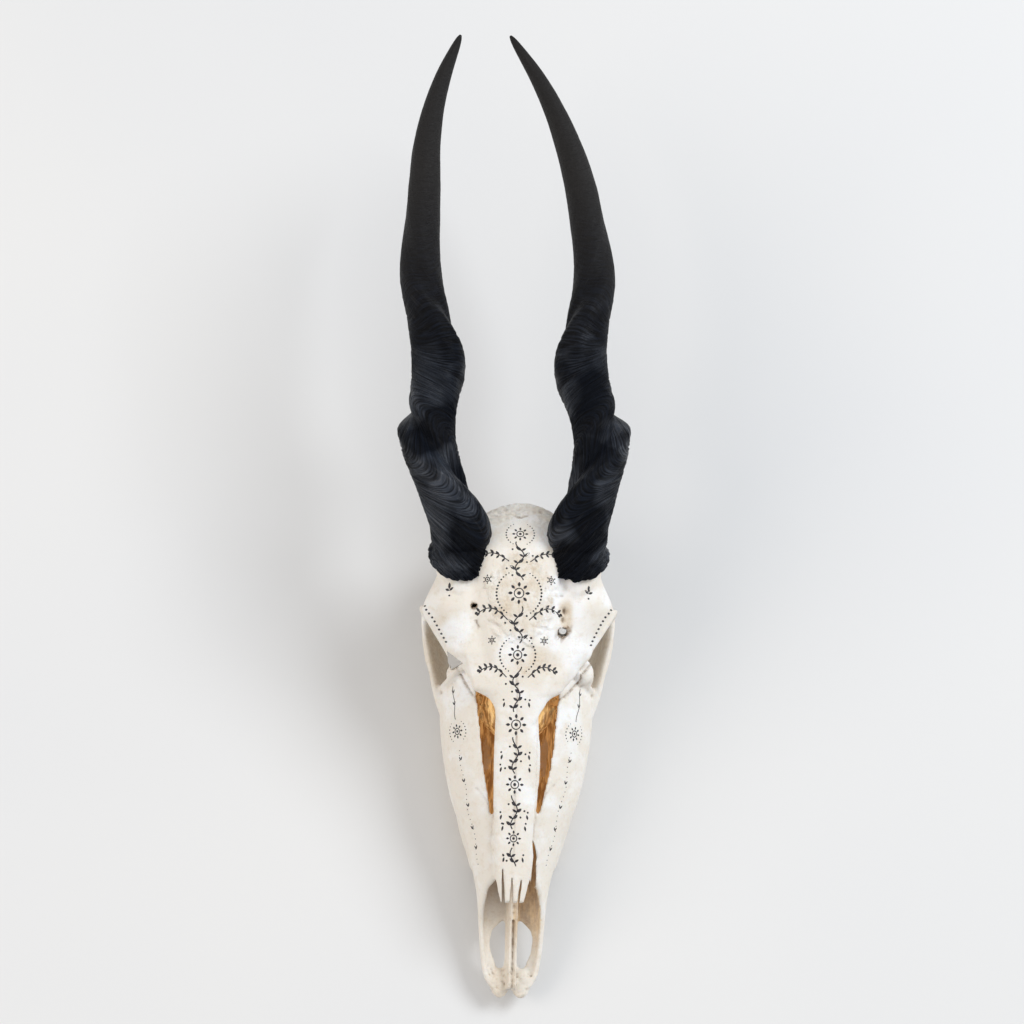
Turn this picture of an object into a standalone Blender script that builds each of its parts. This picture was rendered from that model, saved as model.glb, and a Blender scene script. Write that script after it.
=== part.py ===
"""An eland skull with its two horn sheaths and upper cheek teeth, lying on its teeth.

+Z is up, the nose points along -Y and the horns sweep back along +Y. Sizes are in millimetres,
measured from the nose tip (y = 0) and from the worn faces of the teeth (z = 0), until MM turns
them into metres. The bone is one piece: its forms are laid out as simple closed bodies, fused,
hollowed, and then thinned to a light mesh.
"""

import math

import bmesh
import bpy
from mathutils import Matrix, Vector

MM = 0.001
GAP = 0.4
SIDES = (-1, 1)
SIDE_NAMES = {-1: "left", 1: "right"}

# Fineness of the fused bone
SHELL_VOXEL = 1.8
BONE_VOXEL = 2.0
BONE_FACES = 4350
SMOOTH_ROUNDS = 2

# Midline of the roof, (y, z), from the nasal tips over the forehead to the nuchal crest
ROOF_LINE = (
    (58, 61), (140, 88), (238, 118), (275, 129), (330, 142), (356, 144), (385, 132), (408, 112),
)

# Muzzle and cheeks, (y, value)
FACE_LENGTH = (4, 262)
FACE_HALF_WIDTH = (
    (4, 13), (9, 19), (18, 23.5), (43, 27), (75, 29.5), (92, 32), (119, 39),
    (137, 45), (164, 55), (210, 64), (245, 66), (262, 62),
)
FACE_WIDEST_Z = ((0, 18), (43, 25), (92, 36), (137, 43), (210, 50), (262, 60))
FACE_TOP = ((0, 40), (20, 48), (62, 60), (97, 69), (140, 81), (238, 110), (262, 118))
FACE_BOTTOM = ((0, 11), (43, 17), (92, 25), (137, 28), (235, 29), (262, 42))
FACE_WALL = 6.0
CAVITY_END = 238
PREMAXILLA_END = 15
TIP_NOTCH_DEPTH = 9

# The opening at the nose: the tube's bone above this line, (y, z), is missing
NOSE_RIM = ((-20, 20), (0, 23), (30, 28), (62, 37), (84, 50), (98, 71))

# Nasal bones
NASAL_LENGTH = (64, 246)
NASAL_HALF_WIDTH = ((64, 11.5), (84, 14.5), (110, 16), (170, 19), (215, 19.5), (246, 14))
NASAL_THICKNESS = 5.0
# Notches that part their four tips: place across, depth to, half-width
PRONG_NOTCHES = ((-7.2, 88, 2.6), (-0.6, 80, 2.0), (5.6, 84, 2.4))

# Long gaps between the nasals and the cheeks, (y, inner edge, outer edge), each side its own
CHEEK_GAPS = {
    -1: ((138, 17.5, 21.5), (165, 17.5, 24), (198, 18, 28.5), (226, 18.5, 32), (246, 20, 33)),
    1: ((138, 15.5, 21.5), (165, 17, 24.5), (198, 19, 30.5), (226, 19, 35.5), (246, 23, 37)),
}

# Gaps in the floor of the nose, (y, inner edge, outer edge)
FLOOR_GAPS = ((16, 7, 9), (28, 5, 13.5), (46, 4.5, 18), (58, 4.5, 16), (64, 5, 8))
SEPTUM_HALF_WIDTH = 4.0
SEPTUM_TOP = ((10, 24), (60, 30), (110, 42))

# Forehead, a broad arched plate between the eye sockets
FOREHEAD_LENGTH = (230, 404)
FOREHEAD_HALF_WIDTH = (
    (230, 24), (242, 36), (256, 46), (270, 53), (276, 60), (290, 71), (304, 80), (318, 83),
    (332, 78), (346, 68), (362, 54), (384, 42), (404, 27),
)
FOREHEAD_EDGE_DROP = ((230, 6), (256, 17), (290, 26), (318, 30), (346, 24), (404, 12))
FOREHEAD_EDGE_THICKNESS = 9.0

# Eye sockets
ORBIT_CENTRE = (66, 288, 86)
ORBIT_RADII = (35, 27, 21)
ORBIT_TURN = 25
BROW_PATH = ((59, 274, 110), (66, 282, 112.5), (74, 294, 113.5), (82, 310, 112), (82, 322, 108))
CHEEK_ARCH_PATH = (
    (56, 226, 54), (66, 250, 62), (75, 285, 67), (80, 310, 71), (79, 330, 73),
    (70, 352, 72), (56, 368, 70), (44, 376, 70),
)
CHEEK_ARCH_RADIUS = ((0, 10), (2, 7), (5, 6.5), (7, 8))
BEHIND_EYE_PATH = ((81, 321, 108), (82, 325, 92), (80, 322, 74))
BEFORE_EYE_PATH = ((47, 266, 110), (56, 262, 96), (64, 257, 80), (68, 257, 66))
TEAR_HOOK_PATH = ((54, 260, 98), (57, 267, 98), (59, 272, 93))

# A gap beside the tear bone, on the left only
TEAR_GAP_PATH = ((-53, 284, 72), (-53, 275, 97), (-53, 266, 122))
TEAR_GAP_RADII = ((0, 5.5), (2, 5.5))

# Skull behind the face
CORE_PATH = ((0, 235, 78), (0, 270, 82), (0, 310, 88), (0, 345, 88))
CORE_RADII = ((0, 33), (1, 27), (2, 28), (3, 36))
BRAINCASE_CENTRE = (0, 346, 87)
BRAINCASE_RADII = (43, 56, 41)
OCCIPUT_CENTRE = (0, 387, 78)
OCCIPUT_RADII = (45, 17, 38)
CREST_PATH = (
    (-50, 374, 86), (-42, 386, 100), (-22, 399, 110), (0, 404, 111),
    (22, 399, 110), (42, 386, 100), (50, 374, 86),
)
CONDYLE_CENTRE = (20, 405, 38)
CONDYLE_RADII = (12, 19, 17)
FORAMEN_RADIUS = 15
FORAMEN_PATH = ((0, 440, 52), (0, 400, 58), (0, 372, 66))
SKULL_BASE_PATH = ((0, 402, 44), (0, 370, 44), (0, 330, 50), (0, 295, 58))
SKULL_BASE_RADII = ((0, 16), (1, 17), (2, 15), (3, 13))
EAR_CAPSULE_CENTRE = (31, 352, 48)
EAR_CAPSULE_RADII = (12, 17, 16)
REAR_FOOT_PATH = ((43, 381, 72), (42, 386, 47), (37, 393, 21), (32, 391, -6))
REAR_FOOT_RADII = ((0, 16), (1, 11.5), (2, 7), (3, 4.6))
THROAT_PLATE_PATH = ((19, 240, 40), (18, 268, 44), (18, 300, 54))

# Cheek teeth, front to back: name, length along the row, width across
TEETH = (
    ("premolar_2", 14, 12), ("premolar_3", 16, 14.5), ("premolar_4", 16, 17),
    ("molar_1", 20, 19), ("molar_2", 24, 20.5), ("molar_3", 25, 20),
)
ROW_START = 118
ROW_MIDDLE_X = ((118, 30), (145, 36.5), (180, 41.5), (215, 45), (236, 45))
TOOTH_GAP = 0.5
TOOTH_TOP = 29
TOOTH_TAPER = 0.9
GUM_LINE = 15
RIDGE_HALF_WIDTH = ((106, 6), (118, 9.5), (150, 12), (200, 14.5), (236, 14), (246, 8))

# Horns: the axis of each, (y, x, z), before the twist swings it about
HORN_AXIS = {
    -1: (
        (348, -57, 132), (372, -61, 139), (410, -69, 147), (456, -74, 157), (508, -79, 167),
        (608, -88.5, 182), (700, -90, 191), (740, -86, 194), (780, -77, 195), (822, -63, 195),
    ),
    1: (
        (348, 55.5, 132), (372, 59, 137), (410, 62.5, 142), (456, 60.5, 148), (530, 55, 155),
        (608, 56, 162), (674, 49, 167), (714, 39.5, 168.5), (754, 25.5, 169.5), (794, 7, 170),
        (837, -18.5, 170),
    ),
}
HORN_LENGTH = 474
HORN_RADIUS = (
    (348, 21), (400, 22), (440, 21), (470, 21), (500, 20.5), (530, 19.8), (560, 18.5), (610, 16.4),
    (665, 14.5), (705, 12.3), (745, 9.5), (782, 6.8), (806, 4.4), (818, 2.6), (822, 1.2),
)
HORN_KEEL = ((348, 6), (380, 7.5), (450, 7), (505, 6), (560, 3.5), (620, 1.5), (700, 0.5), (837, 0))
HORN_SWING = ((348, 5), (380, 7), (450, 5), (500, 3), (540, 4), (610, 2.5), (700, 0), (837, 0))
# Direction of the keel, in degrees from the midline side towards the brow and round to the outside
HORN_TURN = (
    (348, -60), (372, 0), (418, 90), (460, 180), (486, 270), (518, 360), (562, 450), (612, 540),
    (720, 640), (837, 680),
)
# The keel's cross-section, in degrees from its crest: a steep side with a groove at its foot,
# and a long side
KEEL_STEEP_SIDE = 42
KEEL_LONG_SIDE = 115
GROOVE_PLACE = 52
GROOVE_WIDTH = 22
GROOVE_DEPTH = 0.75
# The base ring is not square to the axis: it slopes down to the forehead and in to the midline
HORN_SLANT = 0.77
HORN_LEAN = 0.26
HORN_SLANT_LENGTH = 70
HORN_RINGS = 34
HORN_SIDES = 22
PEDICLE_INSET = 2.0
SEAT_CLEARANCE = 0.9

BONE_COLOUR = (0.86, 0.83, 0.76, 1)
HORN_COLOUR = (0.02, 0.02, 0.023, 1)
TOOTH_COLOUR = (0.78, 0.70, 0.55, 1)


def clear_scene():
    for thing in list(bpy.data.objects):
        bpy.data.objects.remove(thing, do_unlink=True)


def new_collection(name):
    collection = bpy.data.collections.new(name)
    bpy.context.scene.collection.children.link(collection)
    return collection


def new_material(name, colour, roughness):
    material = bpy.data.materials.new(name)
    material.use_nodes = True
    shader = material.node_tree.nodes["Principled BSDF"]
    shader.inputs["Base Color"].default_value = colour
    shader.inputs["Roughness"].default_value = roughness
    shader.inputs["Metallic"].default_value = 0.0
    return material


def curve_at(knots, place):
    """The value at a place on a smooth curve through (place, value) knots."""
    places = [knot[0] for knot in knots]
    values = [Vector(knot[1:]) if len(knot) > 2 else knot[1] for knot in knots]
    last = len(knots) - 1
    place = min(max(place, places[0]), places[-1])
    first = max(index for index in range(last) if places[index] <= place)

    def slope(index):
        low = max(index - 1, 0)
        high = min(index + 1, last)
        return (values[high] - values[low]) * (1 / (places[high] - places[low]))

    span = places[first + 1] - places[first]
    part = (place - places[first]) / span
    blend = part * part * (3 - 2 * part)
    value = values[first] * (1 - blend) + values[first + 1] * blend
    value += slope(first) * (span * part * (1 - part) ** 2)
    value -= slope(first + 1) * (span * part * part * (1 - part))
    return value


def stations(length, step):
    """Evenly spaced places from one end of a length to the other."""
    start, end = length
    count = max(2, round((end - start) / step))
    return [start + (end - start) * index / count for index in range(count + 1)]


def add_loft(form, rings):
    """Adds a closed body whose skin runs through rings of points, by extruding its end face."""
    start = bmesh.ops.create_circle(form, cap_ends=True, segments=len(rings[0]), radius=MM)
    cap = start["verts"][0].link_faces[0]
    corners = list(cap.verts)
    for corner, point in zip(corners, rings[0]):
        corner.co = point * MM
    for number, ring in enumerate(rings[1:]):
        made = bmesh.ops.extrude_face_region(form, geom=[cap])
        if number > 0:
            bmesh.ops.delete(form, geom=[cap], context="FACES_ONLY")
        cap = next(item for item in made["geom"] if isinstance(item, bmesh.types.BMFace))
        tops = set(cap.verts)
        corners = [
            next(edge.other_vert(corner) for edge in corner.link_edges if edge.other_vert(corner) in tops)
            for corner in corners
        ]
        for corner, point in zip(corners, ring):
            corner.co = point * MM


def oval(y, half_width, middle, top, bottom, centre=0.0, upper=2.0, lower=2.0, sides=32):
    """A cross-section at y, rounded or squared above and below its widest line."""
    ring = []
    for step in range(sides):
        angle = 2 * math.pi * step / sides
        across = math.cos(angle)
        rise = math.sin(angle)
        power = upper if rise > 0 else lower
        reach = top - middle if rise > 0 else middle - bottom
        x = centre + half_width * math.copysign(abs(across) ** (2 / power), across)
        z = middle + reach * math.copysign(abs(rise) ** (2 / power), rise)
        ring.append(Vector((x, y, z)))
    return ring


def add_tube(form, path, radii, side=1, sides=14, steps=5):
    """Adds a round bar along a smooth path, with round ends; radii are (point number, radius)."""
    knots = [(index, side * x, y, z) for index, (x, y, z) in enumerate(path)]
    last = len(path) - 1
    rings = []
    for place in stations((0, last), 1 / steps):
        point = curve_at(knots, place)
        ahead = curve_at(knots, min(place + 0.05, last)) - curve_at(knots, max(place - 0.05, 0))
        across = ahead.cross(Vector((0.3, 0.2, 1))).normalized()
        up = across.cross(ahead).normalized()
        radius = curve_at(radii, place)
        ends = []
        if place == 0:
            ends = [(-0.85, 0.5), (-0.5, 0.87)]
        if place == last:
            ends = [(0.5, 0.87), (0.85, 0.5)]
        spots = [(0, 1)] + ends if place == last else ends + [(0, 1)]
        for shift, size in spots:
            centre = point + ahead.normalized() * shift * radius
            ring = []
            for step in range(sides):
                angle = 2 * math.pi * step / sides
                ring.append(centre + (across * math.cos(angle) + up * math.sin(angle)) * radius * size)
            rings.append(ring)
    add_loft(form, rings)


def add_ball(form, centre, radii, side=1, turn=0.0):
    """Adds an ellipsoid, turned about the vertical by an angle in degrees."""
    x, y, z = centre
    place = Matrix.Translation(Vector((side * x, y, z)) * MM)
    turned = Matrix.Rotation(math.radians(side * turn), 4, "Z")
    stretch = Matrix.Diagonal((*(radius * MM for radius in radii), 1))
    bmesh.ops.create_icosphere(form, subdivisions=3, radius=1, matrix=place @ turned @ stretch)


def add_slot(form, edges, side, bottom, top):
    """Adds an upright cutter between an inner and an outer edge, (y, inner, outer)."""
    inner = [(y, low) for y, low, high in edges]
    outer = [(y, high) for y, low, high in edges]
    rings = []
    for y in stations((edges[0][0], edges[-1][0]), 6):
        low = curve_at(inner, y)
        high = curve_at(outer, y)
        middle = (low + high) / 2
        half = (high - low) / 2
        rings.append(oval(y, half, (top + bottom) / 2, top, bottom, side * middle, 8, 8))
    add_loft(form, rings)


def add_wedge(form, across, half_width, length, height):
    """Adds an upright wedge cutter, wide at its front and closing to a line at its back."""
    rings = []
    for y, half in ((length[0], half_width * 2), (length[1], half_width * 0.3)):
        corners = ((-half, height[0]), (half, height[0]), (half, height[1]), (-half, height[1]))
        rings.append([Vector((across + x, y, z)) for x, z in corners])
    add_loft(form, rings)


def to_object(form, name, collection):
    """Turns a bmesh into an object whose faces point outwards."""
    bmesh.ops.recalc_face_normals(form, faces=form.faces)
    mesh = bpy.data.meshes.new(name)
    form.to_mesh(mesh)
    form.free()
    thing = bpy.data.objects.new(name, mesh)
    collection.objects.link(thing)
    return thing


def to_cutter(form, name, collection):
    cutter = to_object(form, name, collection)
    cutter.hide_render = True
    cutter.display_type = "WIRE"
    return cutter


def fuse(thing, voxel):
    """Melts an object's overlapping bodies into one skin."""
    melt = thing.modifiers.new("fuse", "REMESH")
    melt.mode = "VOXEL"
    melt.voxel_size = voxel * MM
    melt.adaptivity = 0


def cut(thing, cutter):
    removal = thing.modifiers.new(cutter.name, "BOOLEAN")
    removal.operation = "DIFFERENCE"
    removal.solver = "EXACT"
    removal.use_self = False
    removal.object = cutter


def settle(thing):
    """Applies an object's modifiers."""
    bpy.context.view_layer.update()
    graph = bpy.context.evaluated_depsgraph_get()
    mesh = bpy.data.meshes.new_from_object(thing.evaluated_get(graph))
    thing.modifiers.clear()
    thing.data = mesh


def face_ring(y, inset=0.0):
    """The muzzle's cross-section, or the hollow's where it is set in by the wall."""
    half_width = curve_at(FACE_HALF_WIDTH, y) - inset
    top = curve_at(FACE_TOP, y) - inset
    bottom = curve_at(FACE_BOTTOM, y) + inset
    middle = max(curve_at(FACE_WIDEST_Z, y), bottom + 2)
    return oval(y, half_width, middle, top, bottom, upper=2.1, lower=3.0)


def make_face_shell(guides):
    """Muzzle and cheeks: a hollow tube, open at the nose, with gaps in its roof and floor."""
    form = bmesh.new()
    add_loft(form, [face_ring(y) for y in stations(FACE_LENGTH, 6)])
    shell = to_object(form, "face_shell", guides)
    fuse(shell, SHELL_VOXEL)

    form = bmesh.new()
    hollow = [face_ring(y, FACE_WALL) for y in stations((PREMAXILLA_END, CAVITY_END), 6)]
    add_loft(form, hollow)
    hollow_cutter = to_cutter(form, "nose_hollow", guides)
    cut(shell, hollow_cutter)

    form = bmesh.new()
    rings = []
    for y in stations((NOSE_RIM[0][0], NOSE_RIM[-1][0]), 6):
        low = curve_at(NOSE_RIM, y)
        corners = ((-60, low), (60, low), (60, low + 90), (-60, low + 90))
        rings.append([Vector((x, y, z)) for x, z in corners])
    add_loft(form, rings)
    rim_cutter = to_cutter(form, "nose_opening", guides)
    cut(shell, rim_cutter)

    form = bmesh.new()
    for side in SIDES:
        add_slot(form, CHEEK_GAPS[side], side, 70, 150)
        add_slot(form, FLOOR_GAPS, side, -20, 40)
    add_wedge(form, 0, 4, (-10, TIP_NOTCH_DEPTH), (0, 60))
    gap_cutter = to_cutter(form, "face_gaps", guides)
    cut(shell, gap_cutter)
    settle(shell)
    for cutter in (hollow_cutter, rim_cutter, gap_cutter):
        bpy.data.objects.remove(cutter)
    return shell


def add_nasals(form):
    rings = []
    for y in stations(NASAL_LENGTH, 6):
        top = curve_at(ROOF_LINE, y)
        half = curve_at(NASAL_HALF_WIDTH, y)
        rings.append(oval(y, half, top - 6, top, top - 6 - NASAL_THICKNESS / 2, upper=2.4, lower=2.4))
    add_loft(form, rings)


def add_septum(form):
    rings = []
    for y in stations((6, 112), 8):
        top = curve_at(SEPTUM_TOP, y)
        bottom = curve_at(FACE_BOTTOM, y) + 1
        rings.append(oval(y, SEPTUM_HALF_WIDTH, (top + bottom) / 2, top, bottom, upper=4, lower=4))
    add_loft(form, rings)


def add_forehead(form):
    rings = []
    for y in stations(FOREHEAD_LENGTH, 5):
        top = curve_at(ROOF_LINE, y)
        edge = top - curve_at(FOREHEAD_EDGE_DROP, y)
        half = curve_at(FOREHEAD_HALF_WIDTH, y)
        bottom = edge - FOREHEAD_EDGE_THICKNESS
        rings.append(oval(y, half, edge, top, bottom, upper=2.2, lower=2.6, sides=40))
    add_loft(form, rings)


def add_tooth_ridge(form, side):
    rings = []
    for y in stations((RIDGE_HALF_WIDTH[0][0], RIDGE_HALF_WIDTH[-1][0]), 7):
        x = side * curve_at(ROW_MIDDLE_X, y)
        half = curve_at(RIDGE_HALF_WIDTH, y)
        rings.append(oval(y, half, 34, 46, GUM_LINE, x, upper=2, lower=4))
    add_loft(form, rings)


def add_premaxilla_pads(form, side):
    add_ball(form, (8.5, 8, 19), (8.5, 10, 7), side)


def horn_frame(side, y):
    """The place, direction and two cross directions of a horn's axis."""
    knots = HORN_AXIS[side]
    axis = [(knot[0], knot[1], knot[0], knot[2]) for knot in knots]
    place = curve_at(axis, y)
    ahead = (curve_at(axis, y + 4) - curve_at(axis, y - 4)).normalized()
    inward = Vector((-side, 0, 0))
    inward = (inward - ahead * inward.dot(ahead)).normalized()
    upward = ahead.cross(inward) * side
    if upward.z < 0:
        upward = -upward
    return place, ahead, inward, upward


def keel_rise(angle):
    """How far the keel stands out, 0 to 1, at an angle from its crest: steep one side, long the other."""
    angle = math.degrees(math.remainder(angle, 2 * math.pi))
    if angle < 0:
        rise = 0.5 + 0.5 * math.cos(math.pi * min(-angle, KEEL_STEEP_SIDE) / KEEL_STEEP_SIDE)
        return rise - GROOVE_DEPTH * math.exp(-(((angle + GROOVE_PLACE) / GROOVE_WIDTH) ** 2))
    return (0.5 + 0.5 * math.cos(math.pi * min(angle, KEEL_LONG_SIDE) / KEEL_LONG_SIDE)) ** 1.2


def horn_ring(side, y, inset, sides):
    """A cross-section of a horn, set in by an even amount."""
    place, ahead, inward, upward = horn_frame(side, y)
    start = HORN_AXIS[side][0][0]
    along = start + (y - start) * HORN_LENGTH / (HORN_AXIS[side][-1][0] - start)
    turn = math.radians(curve_at(HORN_TURN, along))
    swing = curve_at(HORN_SWING, along)
    centre = place + (inward * math.cos(turn) + upward * math.sin(turn)) * swing
    radius = curve_at(HORN_RADIUS, along) - inset
    keel = curve_at(HORN_KEEL, along)
    fade = max(0.0, 1 - (y - start) / HORN_SLANT_LENGTH) ** 1.5
    ring = []
    for step in range(sides):
        angle = 2 * math.pi * step / sides
        reach = radius + keel * keel_rise(angle - turn)
        outward = inward * math.cos(angle) + upward * math.sin(angle)
        slope = HORN_SLANT * math.sin(angle) + HORN_LEAN * math.cos(angle)
        ring.append(centre + outward * reach - ahead * slope * reach * fade)
    return ring


def horn_places(side, count):
    """Places along a horn, closer together where it twists."""
    start = HORN_AXIS[side][0][0]
    end = HORN_AXIS[side][-1][0]
    return [start + (end - start) * (index / count) ** 1.25 for index in range(count + 1)]


def add_horn_body(form, rings):
    """Adds a horn's body in triangles, so that a horn and its seat bend along the same lines."""
    add_loft(form, rings)
    bmesh.ops.triangulate(form, faces=form.faces, quad_method="FIXED")


def make_horn(side, collection, material):
    form = bmesh.new()
    add_horn_body(form, [horn_ring(side, y, 0, HORN_SIDES) for y in horn_places(side, HORN_RINGS)])
    horn = to_object(form, "horn_" + SIDE_NAMES[side], collection)
    finish(horn, material)
    return horn


def add_pedicle(form, side):
    """The bony stub that a horn sits on: the horn's own section, a little smaller, sunk in the bone."""
    first = horn_ring(side, HORN_AXIS[side][0][0], PEDICLE_INSET, 24)
    ahead = horn_frame(side, HORN_AXIS[side][0][0])[1]
    middle = sum(first, Vector()) / len(first)
    root = Vector((side * 40, 318, 108))
    rings = []
    for part, size in ((0, 0.75), (0.35, 0.95), (0.7, 1.05)):
        centre = root.lerp(middle, part)
        rings.append([centre + (point - middle) * size for point in first])
    rings.append([point + ahead * 4 for point in first])
    add_loft(form, rings)


def add_horn_seat(form, side):
    """A cutter that is the horn grown on every side."""
    places = horn_places(side, HORN_RINGS)
    rings = [horn_ring(side, y, -SEAT_CLEARANCE, HORN_SIDES) for y in places]
    ahead = horn_frame(side, places[0])[1]
    rings[0] = [point - ahead * SEAT_CLEARANCE for point in rings[0]]
    add_horn_body(form, rings)


def tooth_ring(length, width, middle, lobes, z, size, grow=0.0, sides=16):
    """A tooth's outline at a height: a rounded block, pinched between its lobes."""
    x, y = middle
    ring = []
    for step in range(sides):
        angle = 2 * math.pi * (step + 0.5) / sides
        along = math.copysign(abs(math.sin(angle)) ** 0.6, math.sin(angle))
        across = math.copysign(abs(math.cos(angle)) ** 0.6, math.cos(angle))
        pinch = 1 - 0.09 * (lobes - 1) * (1 + math.cos(2 * math.pi * along))
        out_x = width / 2 * size * pinch + grow
        out_y = length / 2 * size + grow
        ring.append(Vector((x + across * out_x, y + along * out_y, z)))
    return ring


def tooth_places():
    """Name, length, width and row position of each tooth."""
    found = []
    y = ROW_START
    for name, length, width in TEETH:
        found.append((name, length, width, y + length / 2))
        y += length + TOOTH_GAP
    return found


def tooth_rings(side, length, width, y, lobes, grow=0.0):
    middle = (side * curve_at(ROW_MIDDLE_X, y), y)
    levels = ((0, 1), (13, 1), (TOOTH_TOP, TOOTH_TAPER))
    if grow:
        levels = ((-5, 1), (13, 1), (TOOTH_TOP + 2 * grow, TOOTH_TAPER))
    return [tooth_ring(length, width, middle, lobes, z, size, grow) for z, size in levels]


def make_teeth(collection, material):
    for side in SIDES:
        for name, length, width, y in tooth_places():
            lobes = 2 if name.startswith("molar") else 1
            form = bmesh.new()
            add_loft(form, tooth_rings(side, length, width, y, lobes))
            tooth = to_object(form, name + "_" + SIDE_NAMES[side], collection)
            finish(tooth, material)


def add_sockets(form, side):
    for name, length, width, y in tooth_places():
        lobes = 2 if name.startswith("molar") else 1
        add_loft(form, tooth_rings(side, length, width, y, lobes, GAP / 2 + 0.02))


def drop_crumbs(thing):
    """Keeps an object's largest body, without the specks that a cut can leave beside it."""
    form = bmesh.new()
    form.from_mesh(thing.data)
    bodies = []
    waiting = set(form.verts)
    while waiting:
        body = {waiting.pop()}
        front = list(body)
        while front:
            corner = front.pop()
            fresh = {edge.other_vert(corner) for edge in corner.link_edges} - body
            body |= fresh
            front.extend(fresh)
        waiting -= body
        bodies.append(body)
    largest = max(bodies, key=len)
    specks = [corner for body in bodies if body is not largest for corner in body]
    bmesh.ops.delete(form, geom=specks, context="VERTS")
    form.to_mesh(thing.data)
    form.free()


def make_skull(collection, guides, material):
    shell = make_face_shell(guides)
    form = bmesh.new()
    form.from_mesh(shell.data)
    bpy.data.objects.remove(shell)
    add_nasals(form)
    add_septum(form)
    add_forehead(form)
    add_tube(form, CORE_PATH, CORE_RADII, sides=20)
    add_ball(form, BRAINCASE_CENTRE, BRAINCASE_RADII)
    add_ball(form, OCCIPUT_CENTRE, OCCIPUT_RADII)
    add_tube(form, CREST_PATH, ((0, 5), (3, 7.5), (6, 5)))
    add_tube(form, SKULL_BASE_PATH, SKULL_BASE_RADII)
    for side in SIDES:
        add_premaxilla_pads(form, side)
        add_tooth_ridge(form, side)
        add_tube(form, THROAT_PLATE_PATH, ((0, 4.5), (2, 6)), side)
        add_ball(form, CONDYLE_CENTRE, CONDYLE_RADII, side)
        add_ball(form, EAR_CAPSULE_CENTRE, EAR_CAPSULE_RADII, side)
        add_tube(form, REAR_FOOT_PATH, REAR_FOOT_RADII, side)
        add_pedicle(form, side)
    skull = to_object(form, "skull", collection)
    fuse(skull, BONE_VOXEL)

    form = bmesh.new()
    for side in SIDES:
        add_ball(form, ORBIT_CENTRE, ORBIT_RADII, side, ORBIT_TURN)
    add_tube(form, FORAMEN_PATH, ((0, FORAMEN_RADIUS), (2, FORAMEN_RADIUS)), sides=24)
    hollows = to_cutter(form, "hollows", guides)
    cut(skull, hollows)

    form = bmesh.new()
    add_tube(form, TEAR_GAP_PATH, TEAR_GAP_RADII, sides=8)
    for across, depth, half in PRONG_NOTCHES:
        add_wedge(form, across, half, (NASAL_LENGTH[0] - 12, depth), (50, 100))
    notches = to_cutter(form, "notches", guides)
    cut(skull, notches)
    settle(skull)

    form = bmesh.new()
    for side in SIDES:
        add_tube(form, BROW_PATH, ((0, 5), (2, 5.5), (4, 5)), side)
        add_tube(form, CHEEK_ARCH_PATH, CHEEK_ARCH_RADIUS, side)
        add_tube(form, BEHIND_EYE_PATH, ((0, 6), (1, 5), (2, 6)), side)
        add_tube(form, BEFORE_EYE_PATH, ((0, 5), (3, 5)), side)
        add_tube(form, TEAR_HOOK_PATH, ((0, 4), (2, 2.5)), side)
    form.from_mesh(skull.data)
    bars = bpy.data.meshes.new("skull")
    form.to_mesh(bars)
    form.free()
    skull.data = bars
    fuse(skull, BONE_VOXEL)
    relax = skull.modifiers.new("relax", "SMOOTH")
    relax.factor = 0.5
    relax.iterations = SMOOTH_ROUNDS
    settle(skull)
    thin = skull.modifiers.new("thin", "DECIMATE")
    thin.ratio = BONE_FACES / sum(len(face.vertices) - 2 for face in skull.data.polygons)
    settle(skull)

    form = bmesh.new()
    for side in SIDES:
        add_horn_seat(form, side)
        add_sockets(form, side)
    floor = Matrix.Translation(Vector((0, 300, -50)) * MM) @ Matrix.Diagonal((0.4, 0.8, 0.1, 1))
    bmesh.ops.create_cube(form, size=1, matrix=floor)
    seats = to_cutter(form, "seats", guides)
    cut(skull, seats)
    settle(skull)
    for cutter in (hollows, notches, seats):
        bpy.data.objects.remove(cutter)
    drop_crumbs(skull)
    finish(skull, material)
    return skull


def finish(thing, material):
    """Gives an object its one material, triangles and smooth shading with crisp edges."""
    form = bmesh.new()
    form.from_mesh(thing.data)
    bmesh.ops.remove_doubles(form, verts=form.verts, dist=1e-6)
    bmesh.ops.triangulate(form, faces=form.faces)
    form.to_mesh(thing.data)
    form.free()
    thing.data.materials.clear()
    thing.data.materials.append(material)
    thing.data.shade_smooth()
    thing.data.set_sharp_from_angle(angle=math.radians(40))


def centre_on_base(collection):
    """Hangs every piece on one empty that sets the origin at the middle of the underside."""
    corners = [thing.matrix_world @ vert.co for thing in collection.objects for vert in thing.data.vertices]
    middle_x = (min(corner.x for corner in corners) + max(corner.x for corner in corners)) / 2
    middle_y = (min(corner.y for corner in corners) + max(corner.y for corner in corners)) / 2
    lowest = min(corner.z for corner in corners)
    pieces = list(collection.objects)
    root = bpy.data.objects.new("eland_skull", None)
    collection.objects.link(root)
    root.location = (-middle_x, -middle_y, -lowest)
    for piece in pieces:
        piece.parent = root


def main():
    clear_scene()
    collection = new_collection("eland_skull")
    guides = new_collection("guides")
    guides.hide_render = True
    bone = new_material("bone", BONE_COLOUR, 0.55)
    keratin = new_material("keratin", HORN_COLOUR, 0.45)
    enamel = new_material("tooth", TOOTH_COLOUR, 0.35)
    make_skull(collection, guides, bone)
    for side in SIDES:
        make_horn(side, collection, keratin)
    make_teeth(collection, enamel)
    centre_on_base(collection)


main()
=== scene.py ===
# %% [markdown]
# An eland skull, bleached and painted white, with its two black horns and its upper cheek teeth.
# The frame that loads here is the plain part: a bone, two horns and twelve teeth as simple solids.
# This lesson gives each of them its real surface. The box of the plain part is kept, because the
# finished skull has to stay the same size.

# %% Load the frame
import math

import bmesh
import bpy
import numpy as np
from mathutils import Matrix, Vector, noise
from mathutils.bvhtree import BVHTree


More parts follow.
